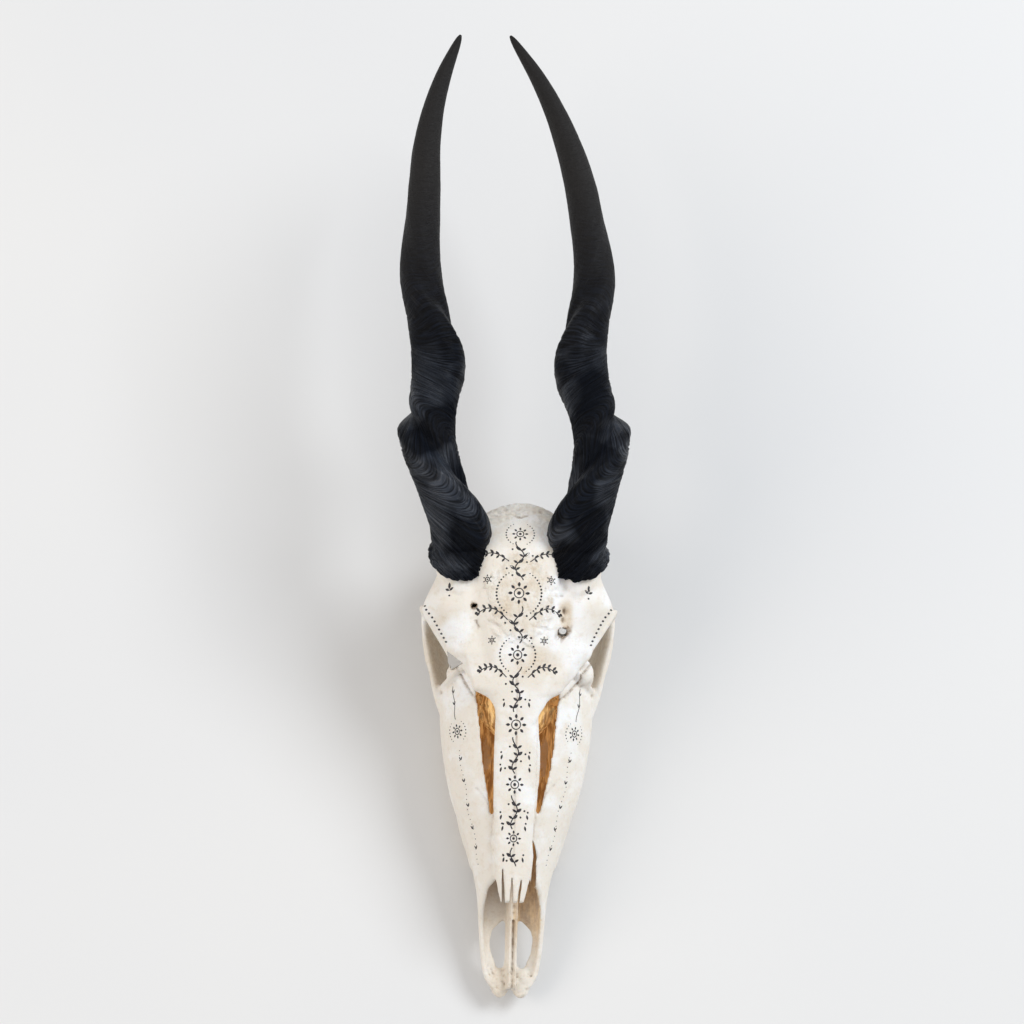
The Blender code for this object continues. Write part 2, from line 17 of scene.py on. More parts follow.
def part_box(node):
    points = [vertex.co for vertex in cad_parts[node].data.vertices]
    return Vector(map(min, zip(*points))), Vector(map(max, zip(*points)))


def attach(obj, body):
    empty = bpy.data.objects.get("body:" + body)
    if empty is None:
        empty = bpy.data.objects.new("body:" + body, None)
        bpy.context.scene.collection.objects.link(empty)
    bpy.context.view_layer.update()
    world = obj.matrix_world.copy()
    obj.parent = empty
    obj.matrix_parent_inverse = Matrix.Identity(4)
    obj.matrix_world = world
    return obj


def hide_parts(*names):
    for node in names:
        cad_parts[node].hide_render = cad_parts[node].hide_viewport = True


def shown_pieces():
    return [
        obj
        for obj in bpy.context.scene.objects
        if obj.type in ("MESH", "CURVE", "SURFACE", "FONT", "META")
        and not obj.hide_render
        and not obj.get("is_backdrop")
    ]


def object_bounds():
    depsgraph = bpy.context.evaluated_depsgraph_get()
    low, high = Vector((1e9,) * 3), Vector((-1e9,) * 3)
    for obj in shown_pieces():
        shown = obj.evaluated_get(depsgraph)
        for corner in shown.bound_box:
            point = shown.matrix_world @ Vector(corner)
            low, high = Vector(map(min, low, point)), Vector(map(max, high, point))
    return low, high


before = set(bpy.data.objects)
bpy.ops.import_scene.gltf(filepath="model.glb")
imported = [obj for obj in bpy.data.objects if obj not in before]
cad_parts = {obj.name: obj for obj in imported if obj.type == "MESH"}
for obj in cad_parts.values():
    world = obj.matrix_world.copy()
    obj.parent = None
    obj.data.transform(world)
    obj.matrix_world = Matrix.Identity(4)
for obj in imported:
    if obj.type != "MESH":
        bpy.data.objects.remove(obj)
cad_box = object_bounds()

MM = 0.001
SIDES = (-1, 1)
SIDE_NAMES = {-1: "left", 1: "right"}
print("nodes:", sorted(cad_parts))

# %% [markdown]
# Every size below is in millimetres from the nose tip (y) and from the worn faces of the teeth (z),
# because that is how a skull is measured. One vector then moves the finished pieces to their place
# in the frame. It could be typed in, but reading it off the first tooth's box keeps both in step.

# %% Where the skull's own zero lies in the frame
TOOTH_ROW_START = 118
FIRST_TOOTH_LENGTH = 14
left_low, left_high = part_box("premolar_2_left")
right_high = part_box("premolar_2_right")[1]
ORIGIN = Vector((
    (left_low.x + right_high.x) / 2,
    (left_low.y + left_high.y) / 2 - (TOOTH_ROW_START + FIRST_TOOTH_LENGTH / 2) * MM,
    0,
))
print("skull's zero in the frame, mm:", [round(value / MM, 2) for value in ORIGIN])


# %% [markdown]
# A living thing has no straight edges, so its widths and heights are smooth curves through a few
# measured places. A spline object could hold them, but a small function is easier to read.

# %% Smooth curves through measured places
def curve_at(knots, place):
    """The value at a place on a smooth curve through (place, value) knots."""
    places = [knot[0] for knot in knots]
    values = [Vector(knot[1:]) if len(knot) > 2 else knot[1] for knot in knots]
    last = len(knots) - 1
    place = min(max(place, places[0]), places[-1])
    first = max(index for index in range(last) if places[index] <= place)

    def slope(index):
        low = max(index - 1, 0)
        high = min(index + 1, last)
        return (values[high] - values[low]) * (1 / (places[high] - places[low]))

    span = places[first + 1] - places[first]
    part = (place - places[first]) / span
    ease = part * part * (3 - 2 * part)
    value = values[first] * (1 - ease) + values[first + 1] * ease
    value += slope(first) * (span * part * (1 - part) ** 2)
    value -= slope(first + 1) * (span * part * part * (1 - part))
    return value


def stations(length, step):
    """Evenly spaced places from one end of a length to the other."""
    start, end = length
    count = max(2, round((end - start) / step))
    return [start + (end - start) * index / count for index in range(count + 1)]


def angles_round(count):
    """Evenly spaced angles round a circle."""
    return [2 * math.pi * step / count for step in range(count)]


# %% [markdown]
# Bone forms are drawn as cross-sections and joined to bodies. Blender can bridge loops for this,
# but extruding one end face from section to section keeps the body closed at every step.

# %% Bodies from cross-sections
def add_loft(form, rings):
    """Adds a closed body whose skin runs through rings of points, by extruding its end face."""
    start = bmesh.ops.create_circle(form, cap_ends=True, segments=len(rings[0]), radius=MM)
    cap = start["verts"][0].link_faces[0]
    corners = list(cap.verts)
    for corner, point in zip(corners, rings[0]):
        corner.co = point * MM
    for number, ring in enumerate(rings[1:]):
        made = bmesh.ops.extrude_face_region(form, geom=[cap])
        if number > 0:
            bmesh.ops.delete(form, geom=[cap], context="FACES_ONLY")
        cap = next(item for item in made["geom"] if isinstance(item, bmesh.types.BMFace))
        tops = set(cap.verts)
        corners = [
            next(edge.other_vert(corner) for edge in corner.link_edges if edge.other_vert(corner) in tops)
            for corner in corners
        ]
        for corner, point in zip(corners, ring):
            corner.co = point * MM


def section(y, left, right, middle, top, bottom, upper=2.0, lower=2.0, sides=48):
    """A cross-section at y between two x places, rounded or squared above and below its widest line."""
    ring = []
    centre = (left + right) / 2
    for angle in angles_round(sides):
        across = math.cos(angle)
        rise = math.sin(angle)
        power = upper if rise > 0 else lower
        reach = top - middle if rise > 0 else middle - bottom
        half = (right - left) / 2
        x = centre + half * math.copysign(abs(across) ** (2 / power), across)
        z = middle + reach * math.copysign(abs(rise) ** (2 / power), rise)
        ring.append(Vector((x, y, z)))
    return ring


# %% [markdown]
# Arches, rims, crests and the thin scrolls inside the nose are bars with an oval section that
# turns along a curved path. A curve object with a bevel would be round only, so this sweep takes a
# thickness and a height at each point, and a lean that tips the oval outwards.

# %% Bars and balls
def add_bar(form, path, sizes, side=1, lean=0.0, sides=16, steps=5):
    """Adds an oval bar along a smooth path, with round ends; sizes are (point, thickness, height)."""
    knots = [(index, side * x, y, z) for index, (x, y, z) in enumerate(path)]
    last = len(path) - 1
    tip = math.radians(lean * side)
    rings = []
    for place in stations((0, last), 1 / steps):
        point = curve_at(knots, place)
        ahead = curve_at(knots, min(place + 0.05, last)) - curve_at(knots, max(place - 0.05, 0))
        ahead = ahead.normalized()
        across = ahead.cross(Vector((0.3 * side, 0.2, 1))).normalized()
        up = across.cross(ahead).normalized()
        thick = across * math.cos(tip) - up * math.sin(tip)
        high = across * math.sin(tip) + up * math.cos(tip)
        half_thickness, half_height = curve_at(sizes, place)
        caps = [(-0.85, 0.5), (-0.5, 0.87)] if place == 0 else []
        caps += [(0, 1)]
        caps += [(0.5, 0.87), (0.85, 0.5)] if place == last else []
        for shift, size in caps:
            ring = []
            for angle in angles_round(sides):
                reach = thick * half_thickness * math.cos(angle) + high * half_height * math.sin(angle)
                ring.append(point + ahead * shift * half_thickness + reach * size)
            rings.append(ring)
    add_loft(form, rings)


def add_ball(form, centre, radii, side=1, turn=0.0):
    """Adds an ellipsoid, turned about the vertical by an angle in degrees."""
    x, y, z = centre
    place = Matrix.Translation(Vector((side * x, y, z)) * MM)
    turned = Matrix.Rotation(math.radians(side * turn), 4, "Z")
    stretch = Matrix.Diagonal((*(radius * MM for radius in radii), 1))
    bmesh.ops.create_icosphere(form, subdivisions=4, radius=1, matrix=place @ turned @ stretch)


# %% [markdown]
# The separate bodies of the bone melt into one skin. A Boolean union of dozens of bodies is slow
# and leaves creases where bone has none, so a voxel remesh does it. Openings are cut afterwards
# with a Boolean, because a remesh alone rounds a thin edge away. Both meshes are closed, so the
# quick Manifold solver does as well as the Exact one.

# %% Melting and cutting
def to_object(form, name):
    """Turns a bmesh into an object whose faces point outwards."""
    bmesh.ops.recalc_face_normals(form, faces=form.faces)
    mesh = bpy.data.meshes.new(name)
    form.to_mesh(mesh)
    form.free()
    thing = bpy.data.objects.new(name, mesh)
    bpy.context.scene.collection.objects.link(thing)
    return thing


def settle(thing):
    """Applies an object's modifiers."""
    graph = bpy.context.evaluated_depsgraph_get()
    mesh = bpy.data.meshes.new_from_object(thing.evaluated_get(graph))
    thing.modifiers.clear()
    thing.data = mesh


def fuse(thing, voxel):
    """Melts an object's overlapping bodies into one skin."""
    melt = thing.modifiers.new("fuse", "REMESH")
    melt.mode = "VOXEL"
    melt.voxel_size = voxel * MM
    melt.adaptivity = 0
    settle(thing)


def cut(thing, form):
    """Cuts the bodies of a bmesh out of an object."""
    cutter = to_object(form, "cutter")
    removal = thing.modifiers.new("cut", "BOOLEAN")
    removal.operation = "DIFFERENCE"
    removal.solver = "MANIFOLD"
    removal.object = cutter
    settle(thing)
    bpy.data.objects.remove(cutter)


# %% [markdown]
# The muzzle is a thin-walled tube, wide at the cheeks and narrow at the nose, and open on top at
# the nose. Long gaps part its roof from the nasal bones, and two leaf-shaped windows open its
# floor behind the tip. A shell with Solidify could make the wall, but the wall has to stay even
# where the gaps cut it, so a smaller tube is cut out of a larger one.

# %% Muzzle and cheeks
FACE_LENGTH = (4, 262)
FACE_HALF_WIDTH = (
    (4, 13), (9, 19), (18, 23.5), (43, 27), (75, 29.5), (92, 32), (119, 39),
    (137, 45), (164, 55), (210, 64), (245, 66), (262, 62),
)
FACE_WIDEST_Z = ((0, 18), (43, 25), (92, 36), (137, 43), (210, 50), (262, 60))
FACE_TOP = ((0, 40), (20, 48), (62, 60), (97, 69), (140, 81), (238, 110), (262, 117))
FACE_BOTTOM = ((0, 11), (43, 17), (92, 25), (137, 28), (235, 29), (262, 42))
FACE_WALL = 4.2
SHELL_VOXEL = 1.5
NOSE_RIM = ((-20, 17), (0, 19.5), (16, 22), (30, 26.5), (62, 38.5), (73, 47), (84, 55), (98, 71))
# Gap edges as (y, inner, outer) across from the midline
CHEEK_GAPS = {
    -1: (
        (140, 17, 19.5), (153, 17, 21.6), (186, 16.8, 27.5), (210, 16.5, 30.5), (226, 18, 33),
        (246, 20, 35),
    ),
    1: (
        (141, 18.5, 20.5), (148, 18.8, 22.2), (163, 20, 25.8), (187, 21.5, 31), (219, 19, 34),
        (246, 20, 36),
    ),
}
FLOOR_GAPS = ((16, 7, 9), (28, 5.5, 13.5), (40, 4.8, 17.5), (54, 4.6, 16.5), (63, 4.8, 8))
SIDE_SEAM_GAP = (
    (86, 15.4, 19.8), (93, 15.6, 19.8), (100, 16.2, 19.4), (110, 17, 19.8), (117, 16, 18.2),
    (121, 15.8, 16.6),
)
TIP_NOTCH = ((-10, -2.6, 2.6), (4, -2.6, 2.6), (10, -0.6, 0.6))
# How high each kind of slot reaches, from its lower to its upper end
GAP_REACH = (70, 150)
FLOOR_REACH = (-20, 40)
TIP_REACH = (0, 60)
NOTCH_REACH = (50, 100)
SEAM_REACH = (54, 110)
HOLLOW_LENGTH = (15, 240)
OPEN_HALF_WIDTH = 60
OPEN_HEIGHT = 90


def face_ring(y, inset=0.0):
    """The muzzle's cross-section, or the hollow's where it is set in by the wall."""
    half = curve_at(FACE_HALF_WIDTH, y) - inset
    bottom = curve_at(FACE_BOTTOM, y) + inset
    middle = max(curve_at(FACE_WIDEST_Z, y), bottom + 2)
    return section(y, -half, half, middle, curve_at(FACE_TOP, y) - inset, bottom, 2.1, 3.0)


def add_slot(form, edges, side, reach):
    """Adds an upright cutter between an inner and an outer edge."""
    bottom, top = reach
    rings = []
    for y in stations((edges[0][0], edges[-1][0]), 4):
        inner, outer = curve_at(edges, y)
        wobble = 0.7 * noise.noise(Vector((side, y * 0.13, 3)))
        ends = sorted((side * (inner + wobble * 0.4), side * (outer + wobble)))
        rings.append(section(y, *ends, (top + bottom) / 2, top, bottom, 8, 8, 24))
    add_loft(form, rings)


def make_face_shell():
    form = bmesh.new()
    add_loft(form, [face_ring(y) for y in stations(FACE_LENGTH, 5)])
    shell = to_object(form, "face_shell")
    fuse(shell, SHELL_VOXEL)

    form = bmesh.new()
    add_loft(form, [face_ring(y, FACE_WALL) for y in stations(HOLLOW_LENGTH, 5)])
    cut(shell, form)

    form = bmesh.new()
    rings = []
    for y in stations((NOSE_RIM[0][0], NOSE_RIM[-1][0]), 5):
        low = curve_at(NOSE_RIM, y)
        high = low + OPEN_HEIGHT
        wide = OPEN_HALF_WIDTH
        corners = ((-wide, low), (wide, low), (wide, high), (-wide, high))
        rings.append([Vector((x, y, z)) for x, z in corners])
    add_loft(form, rings)
    cut(shell, form)

    form = bmesh.new()
    for side in SIDES:
        add_slot(form, CHEEK_GAPS[side], side, GAP_REACH)
        add_slot(form, FLOOR_GAPS, side, FLOOR_REACH)
    add_slot(form, TIP_NOTCH, 1, TIP_REACH)
    cut(shell, form)
    return shell


face_shell = make_face_shell()
print("muzzle shell:", len(face_shell.data.polygons), "faces")

# %% [markdown]
# The roof of the skull is a line in profile: the nasal bones climb to the forehead, which drops
# behind the horns to the crest of the neck. The forehead is one plate with a wavy front edge that
# laps over the bones before it. Its two half-widths differ, as they do on any animal.

# %% Nasal bones and forehead
ROOF_LINE = (
    (58, 61), (140, 88), (238, 118), (275, 129), (330, 142), (356, 144), (385, 132), (408, 112),
)
NASAL_LENGTH = (71, 246)
NASAL_THICKNESS = 8.5
FOREHEAD_LENGTH = (214, 404)
NASAL_HALF_WIDTH = ((71, 10), (84, 13.2), (98, 16), (110, 16.3), (170, 18.4), (215, 18), (246, 15))
FOREHEAD_EDGES = {
    -1: (
        (214, 14.5), (217, 17), (226, 18.6), (233, 22.3), (236, 25.5), (238.5, 30), (240.5, 35.5),
        (244, 37.5), (250, 40.2), (261, 47), (266.5, 52.5), (272, 59.5), (278, 61.5), (290, 68.5),
        (301, 75), (309, 81), (314.5, 82), (322, 79), (332, 74), (346, 66.5), (362, 54), (384, 42),
        (404, 27),
    ),
    1: (
        (214, 15), (217, 18), (222, 20), (228, 24), (233, 26.5), (237, 31), (240, 37.5), (244, 40),
        (255, 49), (264, 54.5), (271, 61), (276, 63.5), (282, 64.5), (293, 69.5), (305, 76),
        (311, 80.5), (315, 81), (321, 79), (331, 74), (346, 66.5), (362, 54), (384, 42), (404, 27),
    ),
}
FOREHEAD_DROP = ((214, 2), (236, 8), (256, 14), (274, 21), (290, 26), (318, 30), (346, 24), (404, 12))
FOREHEAD_EDGE_THICKNESS = 6.0


def add_nasals(form):
    rings = []
    for y in stations(NASAL_LENGTH, 4):
        top = curve_at(ROOF_LINE, y)
        half = curve_at(NASAL_HALF_WIDTH, y)
        rings.append(section(y, -half, half, top - 6, top, top - NASAL_THICKNESS, 2.3, 2.4))
    add_loft(form, rings)


def add_forehead(form):
    rings = []
    for y in stations(FOREHEAD_LENGTH, 2.5):
        top = curve_at(ROOF_LINE, y)
        edge = top - curve_at(FOREHEAD_DROP, y)
        ends = [side * curve_at(FOREHEAD_EDGES[side], y) for side in SIDES]
        thickness = min(FOREHEAD_EDGE_THICKNESS, 2.5 + (y - FOREHEAD_LENGTH[0]) * 0.12)
        rings.append(section(y, *ends, edge, top, edge - thickness, 2.25, 2.4, 64))
    add_loft(form, rings)


# %% [markdown]
# Behind the face lie the braincase, the steep back of the skull with its crest, the two condyles
# that carry it on the neck, the ear capsules and the long hooks beside them. On the real skull
# they are paper-thin or solid by turns. They are plain balls and bars here, which melt together.

# %% Braincase, base and back of the skull
CREST_PATH = (
    (-50, 374, 86), (-42, 386, 100), (-22, 399, 110), (0, 404, 111),
    (22, 399, 110), (42, 386, 100), (50, 374, 86),
)
# Bars on the midline, each a path and its (point, thickness, height) sizes
MIDDLE_BARS = (
    (CREST_PATH, ((0, 4, 4), (1, 4, 5), (3, 5, 7.5), (5, 4, 5), (6, 4, 4))),
    (((0, 340, 124), (0, 372, 123), (0, 396, 111)), ((0, 2, 3), (1, 3, 6), (2, 4, 6))),
    (((0, 406, 107), (0, 405, 92), (0, 403, 76)), ((0, 3, 3), (1, 2.5, 3), (2, 2, 2))),
    (
        ((0, 402, 44), (0, 370, 44), (0, 330, 50), (0, 295, 58)),
        ((0, 16, 15), (1, 17, 14), (2, 13, 14), (3, 9, 13)),
    ),
    (((0, 300, 60), (0, 270, 54), (0, 236, 46)), ((0, 3, 12), (1, 2, 10), (2, 2, 9))),
)
# The plates beside the throat, the ear tubes and the long hooks that the skull rests on
PAIRED_BARS = (
    (((19, 240, 40), (18, 268, 42), (18, 300, 54)), ((0, 3, 9), (1, 2.6, 13), (2, 3.5, 9))),
    (((44, 356, 62), (52, 350, 62)), ((0, 6, 6), (1, 5, 5))),
    (
        ((43, 381, 72), (42, 386, 47), (37, 393, 21), (32, 391, -1)),
        ((0, 9, 18), (1, 6, 13), (2, 4, 9), (3, 3.5, 5)),
    ),
)
# The condyles, the ear capsules and the pads of the nose tip, as centre and radii
PAIRED_BALLS = (
    ((20, 405, 38), (12, 19, 17)), ((31, 352, 46), (11, 17, 15)), ((9, 11, 16.5), (8.5, 13, 4.5)),
)
CORE_PATH = ((0, 235, 78), (0, 270, 82), (0, 310, 88), (0, 345, 88))
CORE_SIZES = ((0, 31, 30), (1, 25, 27), (2, 27, 28), (3, 36, 36))
ROW_MIDDLE_X = ((118, 30), (145, 36.5), (180, 41.5), (215, 45), (236, 45))
RIDGE_HALF_WIDTH = ((106, 6), (118, 9.5), (150, 12), (200, 14.5), (236, 14), (246, 8))
GUM_LINE = 15


def add_tooth_ridge(form, side):
    rings = []
    for y in stations((RIDGE_HALF_WIDTH[0][0], RIDGE_HALF_WIDTH[-1][0]), 5):
        x = side * curve_at(ROW_MIDDLE_X, y)
        half = curve_at(RIDGE_HALF_WIDTH, y)
        rings.append(section(y, x - half, x + half, 34, 46, GUM_LINE, 2, 4))
    add_loft(form, rings)


def add_back(form):
    add_bar(form, CORE_PATH, CORE_SIZES, sides=24)
    add_ball(form, (0, 346, 87), (43, 56, 41))
    add_ball(form, (0, 387, 78), (45, 17, 38))
    for path, sizes in MIDDLE_BARS:
        add_bar(form, path, sizes)
    for side in SIDES:
        add_tooth_ridge(form, side)
        for path, sizes in PAIRED_BARS:
            add_bar(form, path, sizes, side)
        for centre, radii in PAIRED_BALLS:
            add_ball(form, centre, radii, side)


# %% [markdown]
# The horns grow on stubs of bone. Each horn is a keeled tube that twists, so its section is a
# round one with a ridge, and the ridge turns about the axis as it goes up. The functions here give
# a point of that surface from how far up and how far round it is, and both the stub and the horn
# use them.

# %% The form of a horn
HORN_AXIS = {
    -1: (
        (348, -57, 132), (372, -61, 139), (410, -69, 147), (456, -74, 157), (508, -79, 167),
        (608, -88.5, 182), (700, -90, 191), (740, -86, 194), (780, -77, 195), (822, -63, 195),
    ),
    1: (
        (348, 55.5, 132), (372, 59, 137), (410, 62.5, 142), (456, 60.5, 148), (530, 55, 155),
        (608, 56, 162), (674, 49, 167), (714, 39.5, 168.5), (754, 25.5, 169.5), (794, 7, 170),
        (837, -18.5, 170),
    ),
}
HORN_LENGTH = 474
HORN_RADIUS = (
    (348, 21), (400, 22), (440, 21), (470, 21), (500, 20.5), (530, 19.8), (560, 18.5), (610, 16.4),
    (665, 14.5), (705, 12.3), (745, 9.5), (782, 6.8), (806, 4.4), (818, 2.6), (822, 1.2),
)
HORN_KEEL = ((348, 6), (380, 7.5), (450, 7), (505, 6), (560, 3.5), (620, 1.5), (700, 0.5), (837, 0))
HORN_SWING = ((348, 5), (380, 7), (450, 5), (500, 3), (540, 4), (610, 2.5), (700, 0), (837, 0))
HORN_TURN = (
    (348, -60), (372, 0), (418, 90), (460, 180), (486, 270), (518, 360), (562, 450), (612, 540),
    (720, 640), (837, 680),
)
KEEL_STEEP_SIDE = 42
KEEL_LONG_SIDE = 115
GROOVE_PLACE = 52
GROOVE_WIDTH = 22
GROOVE_DEPTH = 0.75
HORN_SLANT = 0.77
HORN_LEAN = 0.26
HORN_SLANT_LENGTH = 70
STUB_ROOT = (40, 318, 108)
STUB_SIZES = ((0, 0.75), (0.35, 0.95), (0.7, 1.05))


def horn_frame(side, y):
    """The place, direction and two cross directions of a horn's axis."""
    axis = [(knot[0], knot[1], knot[0], knot[2]) for knot in HORN_AXIS[side]]
    place = curve_at(axis, y)
    ahead = (curve_at(axis, y + 4) - curve_at(axis, y - 4)).normalized()
    inward = Vector((-side, 0, 0))
    inward = (inward - ahead * inward.dot(ahead)).normalized()
    upward = ahead.cross(inward) * side
    if upward.z < 0:
        upward = -upward
    return place, ahead, inward, upward


def keel_rise(angle):
    """How far the keel stands out at an angle from its crest: steep one side, long the other."""
    angle = math.degrees(math.remainder(angle, 2 * math.pi))
    if angle < 0:
        rise = 0.5 + 0.5 * math.cos(math.pi * min(-angle, KEEL_STEEP_SIDE) / KEEL_STEEP_SIDE)
        return rise - GROOVE_DEPTH * math.exp(-(((angle + GROOVE_PLACE) / GROOVE_WIDTH) ** 2))
    return (0.5 + 0.5 * math.cos(math.pi * min(angle, KEEL_LONG_SIDE) / KEEL_LONG_SIDE)) ** 1.2


def horn_place(side, y):
    """All that a horn's section needs at a place along it."""
    place, ahead, inward, upward = horn_frame(side, y)
    start = HORN_AXIS[side][0][0]
    along = start + (y - start) * HORN_LENGTH / (HORN_AXIS[side][-1][0] - start)
    turn = math.radians(curve_at(HORN_TURN, along))
    swing = curve_at(HORN_SWING, along)
    centre = place + (inward * math.cos(turn) + upward * math.sin(turn)) * swing
    fade = max(0.0, 1 - (y - start) / HORN_SLANT_LENGTH) ** 1.5
    radius = curve_at(HORN_RADIUS, along)
    return centre, ahead, inward, upward, turn, radius, curve_at(HORN_KEEL, along), fade, along - start


def horn_point(station, angle, inset=0.0):
    """The point of a horn's surface at an angle round a station."""
    centre, ahead, inward, upward, turn, radius, keel, fade, _ = station
    reach = radius - inset + keel * keel_rise(angle - turn)
    outward = inward * math.cos(angle) + upward * math.sin(angle)
    slope = HORN_SLANT * math.sin(angle) + HORN_LEAN * math.cos(angle)
    return centre + outward * reach - ahead * slope * reach * fade


def add_pedicle(form, side):
    """The bony stub inside a horn's base."""
    station = horn_place(side, HORN_AXIS[side][0][0])
    first = [horn_point(station, angle, 2.0) for angle in angles_round(24)]
    middle = sum(first, Vector()) / len(first)
    x, y, z = STUB_ROOT
    root = Vector((side * x, y, z))
    rings = []
    for part, size in STUB_SIZES:
        centre = root.lerp(middle, part)
        rings.append([centre + (point - middle) * size for point in first])
    rings.append([point + station[1] * 4 for point in first])
    add_loft(form, rings)


# %% [markdown]
# The eye sockets are rings of bone. First a ball is cut out of the side of the head, then the rim
# goes round the hole: the brow, the bar behind the eye, the cheek arch with its broad plate below
# the eye, and the tear bone in front with its little hook. If the ball came last, it would eat
# the thin rim.

# %% Eye sockets and small holes
BROW_PATH = ((58, 273, 107), (62, 280, 108.5), (69, 291, 110), (76, 303, 110), (80.5, 312, 108.5))
CHEEK_ARCH_PATH = (
    (56, 226, 54), (66, 250, 61), (74, 283, 66), (79, 308, 70), (77, 328, 73),
    (65, 350, 72), (54, 366, 70), (44, 376, 70),
)
CHEEK_ARCH_SIZES = ((0, 6, 10), (1, 5, 9), (2, 3.6, 8), (3, 3.6, 7.5), (5, 4.5, 6.5), (7, 6, 8))
SOCKET_BALL = ((66, 288, 86), (35, 27, 21))
SOCKET_TURN = 25
FORAMEN_PATH = ((0, 440, 52), (0, 400, 58), (0, 372, 66))
FORAMEN_SIZES = ((0, 15, 13), (2, 12, 11))
CHEEK_PLATE_PATH = ((54, 240, 62), (62, 258, 62), (69, 278, 60), (73, 300, 61), (75, 318, 66))
BEHIND_EYE_PATH = ((78.5, 312, 104), (81.5, 317, 92), (80, 318, 76))
BEFORE_EYE_PATH = ((46, 264, 108), (52, 259, 96), (59, 254, 80), (62, 253, 64))
TEAR_HOOKS = {
    -1: ((48, 270, 103), (54, 266, 98), (58.2, 261, 94), (57.5, 256, 89)),
    1: ((54, 272, 102), (59, 270, 98), (62.5, 265, 95), (63.2, 259, 90), (60.5, 253, 84)),
}
# A lobe of the right tear bone that fills its hook
TEAR_LOBE = (56.5, 262.5, 94)
SCROLL_PATHS = (
    ((7, 112, 52), (11, 150, 64), (14, 195, 80), (15, 236, 94)),
    ((21, 118, 44), (27, 150, 54), (31, 195, 68), (32, 236, 82)),
    ((26, 150, 38), (34, 190, 50), (38, 232, 62)),
)
# The low ridge beside the midline on the floor of the nose
NOSE_RIDGE_PATH = ((2.6, 6, 22), (2.6, 60, 29), (2.6, 112, 44))
# Slots between the tips of the nasals, as (y, left, right)
PRONG_NOTCHES = (
    ((58, -9.0, -5.6), (70, -8.8, -6.0), (86, -9.1, -7.1), (97, -9.0, -8.2)),
    ((58, -2.8, 1.0), (70, -2.4, 0.8), (82, -1.5, 0.5), (90, -0.9, 0.0)),
    ((58, 4.0, 6.2), (70, 4.2, 6.1), (80, 5.3, 7.2), (88.5, 6.9, 8.0)),
)
# Round holes of the forehead: across, along, radius, how far down they reach
FOREHEAD_HOLES = ((-38, 307.6, 1.25, 24), (38.2, 287.2, 3.1, 120))
# The open gap beside the left tear bone, a triangle in plan
TEAR_GAP = ((-59.8, 270), (-45.8, 259.5), (-56.4, 252.5))
TEAR_GAP_DEPTH = 100
# Holes run down at a slant, towards the back of the skull
SHAFT = Vector((0, 0.342, -0.94))
SHAFT_START = 14


def add_shaft(form, outline, depth):
    """Adds a prism that cuts a hole of an outline, in plan, down from the roof."""
    middle = sum(y for _, y in outline) / len(outline)
    top = curve_at(ROOF_LINE, middle)
    corners = [Vector((x, y, top)) for x, y in outline]
    add_loft(form, [[corner + SHAFT * reach for corner in corners] for reach in (-SHAFT_START, depth)])


def add_round_shaft(form, across, along, radius, depth):
    outline = [
        (across + radius * math.cos(angle), along + radius * math.sin(angle)) for angle in angles_round(18)
    ]
    add_shaft(form, outline, depth)


def add_rims(form, side):
    add_bar(form, BROW_PATH, ((0, 2.4, 3), (2, 2.6, 3.4), (4, 3, 3.5)), side)
    add_bar(form, CHEEK_ARCH_PATH, CHEEK_ARCH_SIZES, side, 12)
    add_bar(form, CHEEK_PLATE_PATH, ((0, 2.4, 10), (1, 2, 12), (3, 1.9, 13), (4, 2.2, 8)), side, 38)
    add_bar(form, BEHIND_EYE_PATH, ((0, 3.4, 6), (1, 3, 5), (2, 3.4, 7)), side)
    add_bar(form, BEFORE_EYE_PATH, ((0, 3, 5), (1, 2.6, 5), (3, 3.5, 6)), side)
    hook = TEAR_HOOKS[side]
    add_bar(form, hook, ((0, 3.4, 3), (len(hook) - 1, 2, 2)), side)
    if side > 0:
        add_ball(form, TEAR_LOBE, (8.5, 9.5, 6.5), side)


# %% [markdown]
# Now the bone comes together. The muzzle shell and the bodies drawn above are melted and cut. The
# rims and the thin scrolls in the nose come next, and then all of it is melted once more.

# %% One bone
BONE_VOXEL = 1.35


def make_bone():
    form = bmesh.new()
    form.from_mesh(face_shell.data)
    bpy.data.objects.remove(face_shell)
    add_nasals(form)
    add_forehead(form)
    add_back(form)
    for side in SIDES:
        add_pedicle(form, side)
    bone = to_object(form, "skull_bone")
    fuse(bone, BONE_VOXEL)

    form = bmesh.new()
    for side in SIDES:
        add_ball(form, *SOCKET_BALL, side, SOCKET_TURN)
    add_bar(form, FORAMEN_PATH, FORAMEN_SIZES, sides=24)
    cut(bone, form)

    form = bmesh.new()
    form.from_mesh(bone.data)
    for side in SIDES:
        add_rims(form, side)
        for path in SCROLL_PATHS:
            add_bar(form, path, ((0, 0.8, 4), (1, 1.1, 9), (len(path) - 1, 1.1, 9)), side, -8)
        ridge = [(side * x, y, z) for x, y, z in NOSE_RIDGE_PATH]
        add_bar(form, ridge, ((0, 1.6, 7), (2, 1.5, 9)), sides=12, steps=8)
    form.to_mesh(bone.data)
    form.free()
    fuse(bone, BONE_VOXEL)

    relax = bone.modifiers.new("relax", "SMOOTH")
    relax.factor = 0.5
    relax.iterations = 2
    settle(bone)

    # Narrow slots and holes come last, because the melt would close them
    form = bmesh.new()
    add_shaft(form, TEAR_GAP, TEAR_GAP_DEPTH)
    for hole in FOREHEAD_HOLES:
        add_round_shaft(form, *hole)
    for notch in PRONG_NOTCHES:
        add_slot(form, notch, 1, NOTCH_REACH)
    add_slot(form, SIDE_SEAM_GAP, 1, SEAM_REACH)
    cut(bone, form)
    return bone


bone = make_bone()
print("bone before carving:", len(bone.data.vertices), "vertices")

